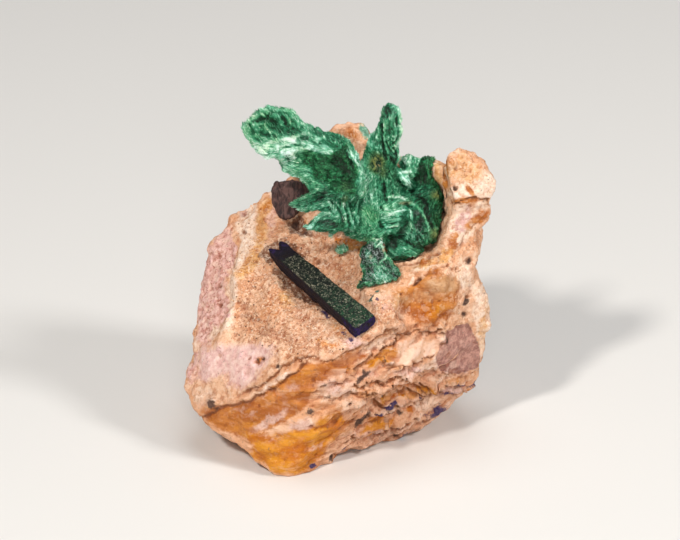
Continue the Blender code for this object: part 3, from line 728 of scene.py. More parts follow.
def rockRelief(points, normals, pixels, facing):
    x, y, z = points.T
    upView = points @ upward
    edge = np.interp(x, *zip(*rockLook["frontEdge"]))
    zone = ease(0.0, 1.5, edge - upView) * ease(0.4, -0.2, normals[:, 1])
    amber = zone * ease(5.0, -1.0, x)
    top = ease(0.1, 0.7, normals[:, 2]) * ease(26, 34, z)
    small = 0.14 * rough(points, 1.5, 3, 2) + 0.09 * rough(points, 0.75, 2, 3)
    relief = 0.18 * rough(points, 4.0, 3, 1) + small * (1 - 0.45 * zone)
    relief += 0.22 * top * rough(points, 1.0, 3, 14)
    crease = np.zeros(len(points))
    under = np.zeros(len(points))
    # each block breaks off in its own place
    _, _, who, _ = cellsOf(points + 0.5 * wobble(points, 1.2, 2, 17), 1.7, 18)
    jag = np.stack([who * 0, (who - 0.5) * 5.5], 1) * ease(157.5, 405, pixels[:, 0:1])
    shaken = pixels + 1.0 * rough(points, 1.1, 3, 5)[:, None] + jag
    for lip, cut, above, below, line in rockLook["ledges"]:
        d = lineDistance(shaken, line)
        raised = lip * np.exp(-np.maximum(d, 0) / above) * ease(-1.0, 0.5, d)
        sunk = cut * np.exp(np.minimum(d, 0) / below) * ease(1.0, -0.5, d)
        relief += 1.3 * (raised - sunk) * facing
        # painted shade under each ledge, and in the crease along it
        shadow = 2.0 * cut * np.exp(np.minimum(d, 0) / 4.5) * ease(0.8, -0.8, d)
        under = np.maximum(under, shadow * facing)
        crease = np.maximum(crease, 1.6 * cut * np.exp(-((d + 0.9) / 1.4) ** 2) * facing)
    # pits, with painted shade in them
    for px, py, radius, depth in rockLook["pits"]:
        d = np.hypot(pixels[:, 0] - px, pixels[:, 1] - py) / radius
        relief -= depth * np.exp(-(d ** 2)) * facing
        crease = np.maximum(crease, 0.8 * np.exp(-((d / 0.9) ** 2)) * facing)
    for px, py, radius, height in rockLook["knobs"]:
        d = np.hypot(pixels[:, 0] - px, pixels[:, 1] - py) / radius
        relief += height * np.exp(-(d ** 4)) * facing
        # painted shade under its lower right side
        low = ease(0.0, 0.8, ((pixels[:, 0] - px) * 0.6 + (pixels[:, 1] - py) * 0.8) / radius)
        ring = min(1.0, 1.6 * height) * np.exp(-(((d - 1.2) / 0.22) ** 2))
        crease = np.maximum(crease, ring * low * facing)
    # broken plates that overlap like shingles, and thin beds on them
    warp = np.stack([rough(points, 3.0, 2, 11), rough(points, 3.0, 2, 12), rough(points, 2.0, 2, 13)], 1)
    bed = -0.31 * x - 0.05 * y + 0.95 * z
    bedded = np.stack([(0.95 * x + 0.31 * z) / 3.6, y / 3.6, bed / 1.5], 1) + 0.28 * warp
    near, after, who, middle = cellsOf(bedded, 1.0, 15)
    off = bedded - middle
    plate = (who - 0.5) * 0.8 + 0.6 * off[:, 2] + 0.9 * (who * 7.13 % 1 - 0.5) * off[:, 0]
    edges = after - near
    tint = who - 0.5
    shards = zone * ease(-3, 5, x)
    relief += 0.50 * plate * shards
    # painted shade in the cracks between the plates
    crease = np.maximum(crease, 0.6 * ease(0.10, 0.0, edges) * shards * (who > 0.55))
    step = bed / 0.8 + 0.8 * rough(points, 4.0, 2, 6)
    step = step - np.floor(step)
    broken = ease(-0.3, 0.35, rough(points, 3.2, 2, 7))
    relief += 0.07 * (step - 0.5) * ease(1.0, 0.8, step) * zone * broken
    # streaks on the lower left face
    leaning = np.stack([(x + 0.4 * upView) / 5.0, y / 5.0, (upView - 0.42 * x) / 0.5], 1)
    relief += 0.08 * rough(leaning, 1.0, 3, 8) * amber
    # small round pits, few of them, with painted shade in them
    near, _, who, _ = cellsOf(points, 2.1, 9)
    hole = np.exp(-((near / 0.16) ** 2)) * (who > 0.6)
    relief -= 0.45 * hole
    crease = np.maximum(crease, 0.6 * hole)
    near, after, who, _ = cellsOf(points + 0.3 * rough(points, 0.8, 1, 4)[:, None], 0.95, 10)
    crumb = (who - 0.45) * ease(0.0, 0.3, after - near) - 0.5 * ease(0.12, 0.0, after - near)
    return relief, crease, crumb, zone, amber, tint * shards, under


def fillWall(rock):
    # the solid's wall has a small gap behind the right lobes, which is closed before it gets its skin
    place, size = rockLook["wallFill"]
    matrix = Matrix.Translation(Vector(place) * mm) @ Matrix.Diagonal((*size, 1.0))
    bm = bmesh.new()
    bm.from_mesh(rock.data)
    bmesh.ops.create_icosphere(bm, subdivisions=3, radius=mm, matrix=matrix)
    bm.to_mesh(rock.data)
    bm.free()


def shadeBesideBar(points, normals):
    # painted shade: a broken brown border in the sand beside the bar, except at its front end
    _, bar, _ = onBar(pointsOf(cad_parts["azurite_bar"])[0])
    run, wide, _ = onBar(points)
    beside = np.maximum(wide - bar.max(), bar.min() - wide) + 0.5 * rough(points, 0.9, 3, 41)
    shaded = ease(1.1, 0.1, beside) * ease(-1.0, 0.5, run) * ease(21, 17, run)
    shaded *= ease(-0.55, 0.25, rough(points, 2.4, 2, 42)) * ease(0.0, 0.3, normals[:, 2])
    return 1.5 * shaded * ease(21, 24, points @ upward)  # not on the front below the hollow


def stainHidden(masks, points, facing):
    # what the camera can't see is stained by the same rules, without the named stains
    hidden = 1 - facing
    drift = rough(points, 9.0, 3, 31)
    left = ease(-9, -17, points[:, 0])
    shares = {
        "ochre": ease(0.0, 0.7, drift) * 0.9,
        "lilac": ease(0.1, 0.8, rough(points, 7.0, 3, 32)) * 0.7,
        "rose": left * ease(-0.2, 0.6, rough(points, 6.0, 3, 33)),
        "gold": ease(0.45, 0.95, rough(points, 4.0, 3, 34)) * 0.8,
        "cream": ease(0.1, 0.8, -drift) * 0.8,
        "umber": ease(0.62, 0.9, rough(points, 2.2, 3, 35)) * 0.8,
        "blue": ease(0.80, 1.0, rough(points, 2.6, 2, 36)),
    }
    for kind, share in shares.items():
        masks[kind] = np.maximum(masks[kind], hidden * share)


def makeRock():
    rock = solidCopy("matrix_rock", "rock")
    fillWall(rock)
    reskin(rock, rockLook["cell"], rockLook["soften"])
    points, normals = pointsOf(rock)
    masks, pixels, facing = stainMasks(points, normals)
    relief, crease, crumb, zone, amber, plate, under = rockRelief(points, normals, pixels, facing)
    ragged = pixels + 1.2 * rough(points, 1.0, 2, 16)[:, None]
    facet = inside(ragged, rockLook["facet"], 1.2) * facing
    slab = inside(ragged, rockLook["slab"], 2) * facing
    sandy = inside(pixels, rockLook["hollow"], 9) * facing
    dyed = np.clip(np.maximum(masks["ochre"], masks["gold"]), 0, 1)
    smooth = np.clip(masks["lilac"], 0, 1) * ease(275, 260, pixels[:, 0])
    calm = facet + 0.8 * smooth + 0.7 * slab + 0.5 * zone + 0.5 * amber + 0.6 * dyed
    calm = np.clip(calm, 0, 1)
    wall = np.clip(masks["rose"], 0, 1)
    relief = relief * (1 - 0.45 * facet) * (1 - 0.6 * slab) - 0.25 * facet
    crease, under = crease * (1 - 0.6 * slab), under * (1 - 0.8 * slab)
    relief += crumb * (0.12 + 0.20 * sandy + 0.20 * wall) * (1 - 0.8 * calm)
    floor = ease(0.0, 0.8, points[:, 2])
    putPoints(rock, points + normals * (relief * floor)[:, None])
    # painted shade beside the bar joins the shade stains
    masks["shade"] = np.maximum(masks["shade"], shadeBesideBar(points, normals))
    stainHidden(masks, points, facing)
    masks["mauve"] = facet
    fields = {
        "crease": np.clip(crease, 0, 1),
        "under": np.clip(under, 0, 1),
        "sunk": sunkness(rock, 3) / 0.06 + sunkness(rock, 14) / 0.22,
        "beds": zone,
        "amber": amber,
        "plate": plate,
        "calm": calm,
        "sandy": sandy,
    }
    for label, values in {**masks, **fields}.items():
        keep(rock, label, values)
    rock.data.shade_smooth()
    rock.data.materials.append(rockMaterial())
    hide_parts("matrix_rock")
    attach(rock, "root")
    stains = sum(len(rows) for rows in rockLook["stains"].values())
    print("rock:", len(rock.data.polygons), "faces,", len(rockLook["ledges"]), "ledges,", stains, "stains")
    return rock


def rockMaterial():
    s = Shader("rock")
    look = rockLook
    fine = s.noise(0.30, 4.0, 0.65)
    middle = s.noise(1.3, 5.0, 0.65)
    broad = s.noise(5.0, 4.0, 0.6)
    shaken = s.shaken(0.16, 0.5)
    grit = s.cells(0.55, where=shaken)
    gritTone = s.picked(0.55, shaken)
    patchy = s.noise(0.9, 5.0, 0.7).between(0.36, 0.64)
    smear = s.noise(1.7, 5.0, 0.65, s.stretched((0, 22, 0), (0.35, 0.6, 1.0))).between(0.36, 0.64)
    edge = (fine - 0.5) * 0.5 + (middle - 0.5) * 0.9
    lively = 1.0 - 0.8 * s.mask("calm")
    sunk = s.mask("sunk")

    def stained(base, name, blend=patchy):
        return s.mix((s.mask(name) + edge).between(0.12, 0.80) * 0.96, base, s.mix(blend, *look[name]))

    base = s.mix(broad.between(0.38, 0.62), look["sand"], look["sandPale"])
    base = s.mix(middle.between(0.50, 0.70) * 0.6, base, look["sandDeep"])
    for name in ("dusk", "cream", "rose", "lilac", "honey"):
        base = stained(base, name)
    for name in ("ochre", "gold", "orange"):
        base = stained(base, name, smear)
    mauve = s.mix((s.noise(0.7, 4.0, 0.75) * 0.6 + middle * 0.4).between(0.42, 0.58), *look["mauve"])
    base = s.mix((s.mask("mauve") + edge * 0.5).between(0.25, 0.70) * 0.95, base, mauve)
    beds = s.mask("beds")
    amber = s.mask("amber")
    # the ledges are browner than the hollow, and each broken plate has its own tint
    base = s.mix(beds * (1.0 - amber) * 0.75, base, look["bedTint"], "MULTIPLY")
    plate = s.mask("plate")
    darkPlate, palePlate = look["plates"]
    base = s.mix(plate.between(0.15, 0.50) * 0.45, base, palePlate)
    base = s.mix(plate.between(-0.15, -0.50) * 0.35, base, darkPlate)
    # painted shade under the ledges
    under = (s.mask("under") + edge * 0.4).between(0.15, 0.95)
    base = s.mix(under * 0.75, base, s.mix(smear, *look["under"]))
    # the lower left face is streaked like wax
    streak = s.noise(1.2, 5.0, 0.6, s.stretched((0, 26, 0), (0.14, 0.5, 1.0)))
    darkWax, paleWax = look["wax"]
    base = s.mix(amber * streak.between(0.50, 0.66) * 0.65, base, darkWax)
    base = s.mix(amber * streak.between(0.42, 0.30) * 0.35, base, paleWax)
    base = stained(base, "dun", smear)
    base = stained(base, "milky")
    # painted shade beside the bar and in the hollows
    shade = (s.mask("shade") + edge * 0.5).between(0.20, 0.75)
    base = s.mix(shade * 0.90, base, s.mix(smear, *look["shade"]))
    # the beds of the rest of the front
    bed = s.noise(0.9, 4.0, 0.6, s.stretched((0, 18, 0), (0.2, 0.5, 1.0)))
    darkBed, paleBed = look["beds"]
    base = s.mix(beds * bed.between(0.54, 0.70) * 0.25, base, darkBed)
    base = s.mix(beds * bed.between(0.43, 0.30) * 0.22, base, paleBed)
    # painted shade in the hollows, browner, and painted highlight on the raised points, paler
    base = s.mix(sunk.between(0.5, 2.6) * 0.55, base, look["hollowShadeTint"], "MULTIPLY")
    base = s.mix(sunk.between(-0.6, -2.4) * 0.75, base, look["ridgeHighlightTint"], "MULTIPLY")
    # grain by grain
    darkGrit, paleGrit = look["grit"]
    darkFine, paleFine = look["fine"]
    darkDust, paleDust = look["dust"]
    base = s.mix(gritTone.between(0.55, 0.95) * lively * 0.50, base, darkGrit, "MULTIPLY")
    base = s.mix(gritTone.between(0.30, 0.05) * lively * 0.34, base, paleGrit)
    base = s.mix(fine.between(0.53, 0.68) * (0.15 + lively) * 0.50, base, darkFine, "MULTIPLY")
    base = s.mix(fine.between(0.42, 0.30) * lively * 0.40, base, paleFine)
    speck = s.cells(1.3, where=shaken).between(0.20, 0.06) * patchy
    base = s.mix(speck * 0.55, base, look["speck"])
    dust = s.picked(0.27, shaken)
    loose = lively * (0.15 + s.mask("sandy") * 0.85)
    base = s.mix(dust.between(0.76, 0.90) * loose * 0.50, base, darkDust, "MULTIPLY")
    base = s.mix(dust.between(0.18, 0.10) * loose * patchy * 0.60, base, paleDust)
    freckle = s.cells(0.55).between(0.22, 0.10) * s.noise(2.0).between(0.48, 0.58)
    base = s.mix(s.mask("rose") * freckle * 0.9, base, look["freckle"])
    # painted shade in the creases, cracks and pits
    base = s.mix(s.mask("crease").between(0.15, 0.85) * 0.80, base, look["crease"])
    mottled = s.noise(0.45, 3.0, 0.7).between(0.40, 0.60)
    torn = (fine - 0.5) * 1.3 + (patchy - 0.5) * 0.5
    for name in ("umber", "blue", "green", "mint"):
        base = s.mix((s.mask(name) + torn).between(0.25, 1.05) * 0.95, base, s.mix(mottled, *look[name]))
    height = (fine * 0.7 + grit * -0.35 + middle * 0.9) * lively + streak * amber * 0.5 + fine * 0.2
    return s.set(
        Base_Color=base,
        Roughness=0.58 + 0.34 * fine - 0.16 * amber,
        Specular_IOR_Level=0.24,
        Normal=s.bump(height, 0.85, 0.30),
    )


sprayLook = {
    "cell": 0.18,  # mm
    "soften": 1,
    "ramp": [
        (0.0, (0.001, 0.010, 0.004)), (0.18, (0.003, 0.040, 0.016)), (0.38, (0.009, 0.130, 0.058)),
        (0.58, (0.050, 0.310, 0.160)), (0.80, (0.230, 0.570, 0.370)), (1.0, (0.720, 0.930, 0.820)),
    ],
    "olive": (0.26, 0.24, 0.05),
    "tan": (0.52, 0.36, 0.20),
    "velvetTint": (1.0, 0.98, 0.66),
    "tealTint": (0.45, 0.95, 1.0),
    "yellowTint": (1.0, 0.95, 0.62),
    "frostTint": (1.12, 0.82, 1.16),
    "white": (0.62, 0.74, 0.70),
    # fibres: how many to a square mm on the spray and on the tuft, length and thickness in mm
    "fibre": {"spray": 20.0, "tuft": 14.0, "length": 0.60, "thick": 0.10, "turn": 0.22},
    # strands of fibres: from and to (pixels), radius (pixels), tone from 0 dark to 1 pale, velvet
    # from 0 combed to 1 upright, length of the fibres against the usual one
    "strands": [
        ((262, 138), (246, 122), 9, 0.48, 0.25, 1.0), ((280, 140), (262, 112), 9, 0.38, 0.35, 1.1),
        ((300, 138), (280, 112), 9, 0.37, 0.35, 1.0), ((318, 142), (298, 120), 8, 0.36, 0.30, 0.9),
        ((335, 146), (318, 130), 7, 0.31, 0.30, 0.8), ((300, 150), (262, 146), 8, 0.78, 0.10, 0.9),
        ((330, 150), (285, 140), 6, 0.75, 0.05, 0.9), ((284, 148), (274, 150), 8, 0.58, 0.05, 0.5),
        ((300, 160), (284, 158), 7, 0.60, 0.10, 0.9), ((306, 172), (286, 168), 10, 0.50, 0.20, 0.7),
        ((330, 170), (304, 158), 11, 0.30, 0.85, 0.6), ((345, 180), (320, 172), 11, 0.26, 0.95, 0.6),
        ((352, 172), (338, 160), 11, 0.14, 1.00, 0.55), ((352, 190), (335, 186), 9, 0.28, 0.80, 0.7),
        ((325, 186), (306, 180), 8, 0.45, 0.35, 0.7), ((360, 168), (351, 152), 4, 0.48, 0.00, 1.0),
        ((330, 192), (292, 203), 8, 0.29, 0.35, 0.9), ((325, 200), (296, 207), 6, 0.46, 0.10, 0.9),
        ((345, 214), (308, 227), 8, 0.36, 0.10, 1.0), ((346, 224), (322, 226), 6, 0.28, 0.20, 0.7),
        ((345, 196), (341, 222), 10, 0.43, 0.10, 1.1), ((358, 200), (352, 226), 9, 0.38, 0.15, 1.0),
        ((388, 138), (388, 108), 9, 0.30, 0.05, 0.9), ((396, 140), (398, 112), 5, 0.43, 0.00, 0.8),
        ((378, 150), (376, 116), 6, 0.38, 0.05, 0.9), ((400, 142), (403, 128), 4, 0.61, 0.00, 0.6),
        ((390, 152), (386, 132), 7, 0.33, 0.10, 0.7), ((370, 160), (371, 136), 6, 0.50, 0.10, 0.8),
        ((376, 164), (370, 154), 9, 0.24, 0.70, 0.7), ((362, 195), (364, 160), 9, 0.52, 0.10, 0.9),
        ((392, 175), (386, 160), 9, 0.30, 0.45, 0.7), ((372, 205), (368, 180), 10, 0.57, 0.20, 0.8),
        ((388, 198), (386, 182), 9, 0.39, 0.30, 0.7), ((404, 170), (409, 155), 8, 0.68, 0.15, 0.7),
        ((414, 172), (416, 158), 6, 0.54, 0.20, 0.7), ((398, 168), (412, 186), 5, 0.56, 0.00, 0.5),
        ((424, 178), (424, 170), 12, 0.12, 0.60, 0.5), ((432, 180), (433, 164), 6, 0.30, 0.70, 0.6),
        ((410, 196), (424, 190), 10, 0.31, 0.20, 0.8), ((436, 196), (438, 190), 8, 0.28, 0.60, 0.5),
        ((388, 208), (400, 200), 7, 0.55, 0.20, 0.5), ((386, 214), (404, 212), 8, 0.62, 0.00, 0.5),
        ((386, 228), (404, 224), 9, 0.46, 0.00, 0.5), ((372, 222), (368, 212), 11, 0.51, 0.45, 0.8),
        ((360, 236), (356, 228), 10, 0.46, 0.40, 0.8), ((374, 236), (382, 232), 9, 0.48, 0.40, 0.7),
        ((412, 240), (409, 212), 6, 0.39, 0.00, 1.1), ((420, 236), (420, 214), 8, 0.24, 0.20, 0.7),
        ((428, 242), (426, 220), 7, 0.26, 0.40, 0.7), ((434, 236), (432, 224), 6, 0.32, 0.50, 0.4),
        ((414, 258), (398, 250), 9, 0.37, 0.20, 0.5), ((420, 250), (412, 244), 6, 0.28, 0.40, 0.5),
        ((372, 264), (370, 244), 11, 0.16, 0.70, 0.35), ((366, 250), (380, 244), 5, 0.42, 0.20, 0.4),
        ((368, 284), (356, 286), 8, 0.27, 0.60, 0.4), ((384, 280), (378, 270), 8, 0.52, 0.40, 0.5),
        ((394, 276), (388, 266), 8, 0.34, 0.60, 0.4), ((366, 126), (366, 134), 6, 0.45, 0.20, 0.6),
        ((344, 253), (341, 246), 5, 0.66, 0.40, 0.8),
    ],
    # folds and strokes: width in pixels, height in mm, change of tone, line in pixels; the change of tone is
    # partly the fibres' own pale and dark, partly painted highlight on lit edges and painted shade in the
    # gaps
    "folds": [
        # left arm
        # the arm's pale outline, above and below, is a painted rim highlight
        (1.8, 0.14, 0.34, [
            (243, 128), (247, 121), (255, 117), (263, 110), (268, 105), (275, 109), (283, 110),
            (292, 112), (298, 119), (302, 124),
        ]),
        (2.4, 0.10, 0.30, [(245, 130), (249, 138), (256, 146), (262, 152), (270, 158), (275, 157)]),
        (2.2, -0.25, -0.55, [(258, 120), (261, 118), (264, 119)]),
        (1.2, 0.15, 0.55, [(262, 115), (265, 117)]),
        (1.8, -0.20, -0.45, [(250, 124), (253, 129), (254, 133)]),
        (2.2, -0.20, -0.40, [(253, 120), (257, 121)]),
        (2.6, -0.20, -0.38, [(268, 116), (271, 121), (276, 123)]),
        (2.4, -0.18, -0.35, [(283, 118), (286, 124)]), (2.0, -0.16, -0.30, [(275, 129), (280, 131)]),
        (2.0, -0.16, -0.30, [(262, 133), (268, 136)]), (1.8, -0.14, -0.30, [(290, 126), (296, 130)]),
        (1.6, -0.14, -0.30, [(255, 139), (260, 141)]),
        (1.2, 0.12, 0.35, [(249, 120), (252, 125), (253, 129)]),
        (1.2, 0.10, 0.30, [(254, 124), (262, 124), (268, 127)]),
        (1.2, 0.10, 0.35, [(262, 108), (265, 112), (268, 114)]),
        (1.3, 0.10, 0.30, [(293, 117), (297, 121), (300, 127)]),
        (1.3, 0.10, 0.25, [(274, 113), (279, 118), (281, 126)]),
        (1.3, 0.10, 0.25, [(287, 115), (290, 122), (292, 130)]),
        (1.3, 0.12, 0.30, [(265, 128), (272, 133), (280, 135)]),
        (1.2, 0.10, 0.22, [(302, 124), (306, 130)]), (1.6, 0.25, 0.15, [(306, 124), (307, 128)]),
        (1.6, 0.25, 0.15, [(311, 125), (312, 129)]), (1.8, 0.22, 0.10, [(320, 129), (322, 132)]),
        (2.6, 0.12, 0.40, [
            (273, 141), (285, 139), (294, 138), (300, 135), (308, 134), (318, 139), (324, 138),
        ]),
        (1.5, 0.08, 0.35, [(292, 139), (299, 136)]), (1.5, 0.08, 0.35, [(311, 139), (318, 142)]),
        (1.4, -0.14, -0.40, [(286, 147), (294, 146), (305, 145)]),
        (4.5, 0.22, 0.18, [(276, 147), (284, 143), (292, 143)]),
        (2.6, 0.15, 0.30, [(283, 152), (290, 152), (294, 157)]),
        (1.5, -0.20, -0.60, [(286, 158), (289, 160)]), (1.0, 0.06, 0.35, [(285, 153), (291, 160)]),
        (1.0, 0.06, 0.30, [(289, 151), (295, 158)]),
        (5.0, 0.08, 0.26, [(283, 161), (286, 170), (294, 177), (302, 181)]),
        (4.0, -0.10, -0.16, [(335, 158), (345, 170), (350, 182)]),
        # left crystals
        (1.6, 0.12, 0.30, [(291, 203), (300, 199), (310, 194), (318, 189)]),
        (2.2, 0.12, 0.60, [(297, 211), (303, 213)]),
        (2.0, 0.08, 0.35, [(294, 207), (299, 209), (306, 212)]),
        (1.6, -0.16, -0.30, [(305, 206), (316, 201), (326, 194)]),
        (2.0, 0.10, 0.45, [(327, 200), (331, 205), (336, 211), (338, 217)]),
        (1.0, -0.10, -0.40, [(331, 201), (336, 206), (340, 212)]),
        (1.2, 0.08, 0.35, [(334, 200), (340, 207), (342, 214)]),
        (1.0, -0.10, -0.45, [(329, 208), (334, 215)]),
        (1.5, 0.12, 0.40, [(311, 228), (316, 220), (323, 214), (330, 213), (336, 217)]),
        (2.2, 0.10, 0.75, [(307, 229), (311, 227)]),
        (3.0, -0.10, -0.32, [(320, 222), (328, 220), (336, 224)]),
        (1.2, 0.08, 0.40, [(324, 218), (330, 218), (337, 222)]),
        (1.0, 0.06, 0.30, [(318, 226), (326, 229), (336, 230)]),
        (1.3, 0.14, 0.45, [(343, 203), (345, 212), (346, 222)]),
        (1.2, 0.14, 0.40, [(347, 203), (350, 216), (354, 226)]),
        (1.3, -0.20, -0.55, [(345, 206), (347, 214), (350, 224)]),
        (1.2, -0.18, -0.45, [(340, 204), (341, 214), (344, 224)]),
        (1.2, 0.10, 0.35, [(351, 204), (355, 214), (358, 222)]),
        (1.2, -0.14, -0.35, [(349, 200), (353, 210)]),
        # upright crystal
        (3.0, 0.35, 0.0, [(384, 110), (384, 114)]), (3.0, 0.30, 0.0, [(398, 110), (399, 122)]),
        (2.5, -0.30, 0.0, [(388, 103), (394, 103)]),
        (1.6, 0.18, 0.42, [
            (383, 106), (381, 111), (381, 115), (379, 119), (374, 125), (371, 133), (368, 141),
        ]),
        (2.8, 0.10, 0.24, [(378, 120), (375, 127), (374, 132)]),
        (2.4, 0.20, 0.22, [(368, 142), (371, 146)]),
        (1.4, 0.18, 0.35, [(393, 107), (398, 110), (400, 116), (399, 125)]),
        (2.0, 0.22, 0.50, [(400, 127), (403, 131), (403, 137), (400, 141)]),
        (1.2, -0.20, -0.50, [(399, 131), (398, 137), (396, 142)]),
        (2.2, -0.25, -0.50, [(388, 108), (390, 112)]), (1.6, -0.16, -0.35, [(385, 112), (386, 118)]),
        (1.4, -0.14, -0.35, [(396, 119), (397, 124)]),
        (1.0, 0.12, 0.40, [(393, 113), (392, 119), (392, 126)]),
        (1.0, 0.10, 0.35, [(397, 111), (398, 117), (398, 122)]),
        (1.0, 0.10, 0.35, [(395, 120), (396, 127)]),
        (1.0, 0.10, 0.35, [(384, 110), (385, 117), (388, 124)]),
        (1.0, 0.08, 0.25, [(389, 114), (390, 121)]),
        (1.4, -0.25, -0.55, [(381, 124), (383, 133), (382, 140), (384, 150), (386, 158)]),
        (1.0, 0.14, 0.50, [(384, 124), (384, 134), (384, 142), (387, 150), (389, 157)]),
        (1.0, 0.12, 0.30, [(379, 126), (379, 134), (377, 140)]),
        (1.2, -0.14, -0.30, [(376, 134), (376, 141)]), (3.5, -0.06, -0.10, [(390, 127), (391, 136)]),
        (0.9, 0.12, 0.42, [(385, 138), (388, 143), (390, 147), (394, 152)]),
        (0.9, 0.12, 0.42, [(387, 137), (390, 143), (393, 147), (398, 142)]),
        (0.9, 0.12, 0.42, [(389, 136), (393, 142), (398, 138)]),
        (0.9, 0.10, 0.36, [(391, 135), (394, 138), (397, 135)]),
        (0.9, -0.12, -0.40, [(386, 141), (390, 149), (393, 154)]),
        (0.9, -0.12, -0.40, [(388, 140), (392, 146)]), (0.9, -0.12, -0.35, [(390, 139), (394, 143)]),
        (1.1, 0.14, 0.45, [(400, 141), (396, 147), (393, 152)]),
        (1.8, -0.35, -0.60, [(394, 149), (397, 154), (396, 160)]),
        (1.4, -0.25, -0.50, [(388, 154), (394, 162), (401, 169)]),
        (1.1, 0.16, 0.50, [(398, 147), (399, 154), (402, 160), (406, 163)]),
        (3.6, 0.12, 0.10, [(358, 152), (362, 166), (362, 182), (364, 196)]),
        (1.2, 0.22, 0.45, [(351, 152), (354, 158), (358, 166)]),
        (1.4, -0.30, -0.60, [(348, 152), (350, 160), (353, 167)]),
        (1.0, 0.10, 0.25, [(355, 151), (358, 158)]), (2.4, 0.22, 0.35, [(355, 167), (359, 172)]),
        # right side
        (1.6, 0.16, 0.28, [(402, 155), (406, 153), (410, 152), (414, 155), (418, 160)]),
        (3.0, -0.15, -0.45, [(402, 161), (405, 167)]),
        (1.4, 0.12, 0.45, [(400, 173), (406, 172), (411, 171)]),
        (2.4, 0.22, 0.32, [(401, 178), (406, 179), (411, 184), (408, 187)]),
        (1.4, -0.20, -0.50, [(399, 181), (404, 186), (410, 190)]),
        (1.6, 0.12, 0.30, [(424, 161), (427, 168), (430, 177)]),
        (1.4, 0.10, 0.24, [(430, 162), (432, 170), (435, 178)]),
        (3.4, 0.18, 0.14, [(429, 194), (435, 196), (441, 196)]),
        (2.2, -0.30, -0.50, [(441, 194), (443, 199)]),
        (2.4, -0.25, -0.35, [(412, 190), (420, 198), (427, 204)]),
        (1.5, 0.22, 0.45, [
            (386, 198), (392, 196), (400, 197), (408, 201), (416, 206), (422, 211), (425, 217),
            (428, 226),
        ]),
        (1.4, -0.28, -0.60, [(384, 184), (384, 192), (386, 200)]),
        (1.3, -0.15, -0.30, [(408, 205), (414, 212)]), (1.6, -0.25, -0.45, [(381, 207), (383, 210)]),
        (1.6, -0.25, -0.45, [(380, 223), (382, 227)]), (2.6, 0.16, 0.20, [(386, 209), (388, 213)]),
        (1.6, 0.12, 0.45, [(390, 214), (397, 212), (404, 211)]),
        (1.2, -0.12, -0.20, [(386, 219), (402, 217)]), (1.0, 0.08, 0.22, [(386, 221), (398, 219)]),
        (1.0, -0.10, -0.25, [(386, 224), (400, 222)]), (1.0, 0.08, 0.20, [(386, 227), (397, 225)]),
        (3.0, -0.22, -0.38, [(404, 214), (404, 224), (400, 236)]),
        # painted shade in the black gap
        (4.0, -0.45, -0.70, [(392, 238), (394, 245)]),
        (1.2, 0.14, 0.45, [(409, 209), (411, 214), (412, 218)]),
        (1.2, 0.14, 0.42, [(411, 224), (410, 231), (407, 238)]),
        (3.2, -0.10, -0.45, [(417, 215), (422, 220), (418, 226)]),
        # a painted glint on the dark lobe
        (1.3, 0.05, 0.70, [(418, 217), (419, 218)]),
        (1.0, 0.10, 0.30, [(414, 230), (420, 233), (424, 238)]),
        (1.2, -0.16, -0.35, [(407, 241), (414, 246)]),
        (3.6, 0.20, 0.10, [(428, 230), (434, 235), (436, 240)]),
        (2.2, -0.28, -0.45, [(427, 208), (429, 218), (432, 226)]),
        # lower plate and flare
        (2.6, 0.20, 0.50, [(362, 241), (367, 240), (372, 240)]),
        (1.6, -0.30, -0.80, [(361, 245), (366, 246), (372, 247)]),
        (1.2, 0.14, 0.75, [(374, 238), (379, 241), (384, 244)]),
        (1.1, 0.14, 0.75, [(376, 247), (381, 243), (384, 250), (386, 258), (380, 263)]),
        (1.1, 0.12, 0.60, [(374, 246), (377, 240), (380, 237)]),
        (1.6, -0.20, -0.60, [(378, 250), (382, 255)]),
        (1.4, 0.14, 0.40, [(360, 248), (359, 256), (361, 264), (364, 272)]),
        (2.6, -0.18, -0.45, [(363, 251), (363, 261)]), (3.4, 0.06, 0.55, [(368, 254), (373, 259)]),
        (1.6, -0.20, -0.50, [(377, 249), (379, 258)]), (1.4, 0.08, -0.35, [(369, 249), (374, 251)]),
        (0.9, 0.10, 0.35, [(386, 252), (391, 257)]), (0.9, 0.10, 0.35, [(390, 250), (396, 256)]),
        (0.9, 0.10, 0.30, [(387, 257), (393, 262)]),
        (3.6, 0.18, 0.20, [(399, 249), (408, 248), (416, 252)]),
        (3.0, -0.15, -0.25, [(398, 258), (408, 259)]), (2.6, -0.15, -0.40, [(356, 284), (364, 280)]),
        (1.2, 0.14, 0.45, [(354, 285), (358, 280), (363, 276)]),
        (1.6, 0.10, 0.65, [(366, 283), (372, 284)]), (3.6, 0.14, 0.22, [(379, 274), (386, 278)]),
        (1.4, -0.16, -0.50, [(373, 288), (380, 289)]), (1.6, -0.16, -0.45, [(392, 273), (399, 277)]),
        (1.3, 0.12, 0.60, [(385, 283), (391, 286)]), (1.2, -0.15, -0.40, [(368, 268), (374, 272)]),
        (1.2, 0.12, 0.40, [(374, 264), (382, 268)]), (1.4, -0.15, -0.40, [(384, 262), (390, 268)]),
    ],
    # spots by kind: middle and half sizes (pixels), strength
    "spots": {
        "olive": [
            (377, 163, 8, 10, 1.0), (383, 172, 6, 9, 0.5), (346, 186, 8, 10, 0.35),
            (345, 199, 5, 6, 0.5), (437, 195, 8, 6, 0.7), (434, 234, 6, 9, 0.6), (420, 256, 8, 6, 0.3),
            (366, 240, 7, 3, 0.35), (372, 190, 9, 6, 0.25),
        ],
        "tan": [
            (405, 203, 10, 2.6, 0.55), (378, 164, 4, 6, 0.6), (371, 257, 4, 4, 0.5),
            (385, 250, 3, 3, 0.9), (405, 173, 6, 2, 0.35),
        ],
        "frost": [
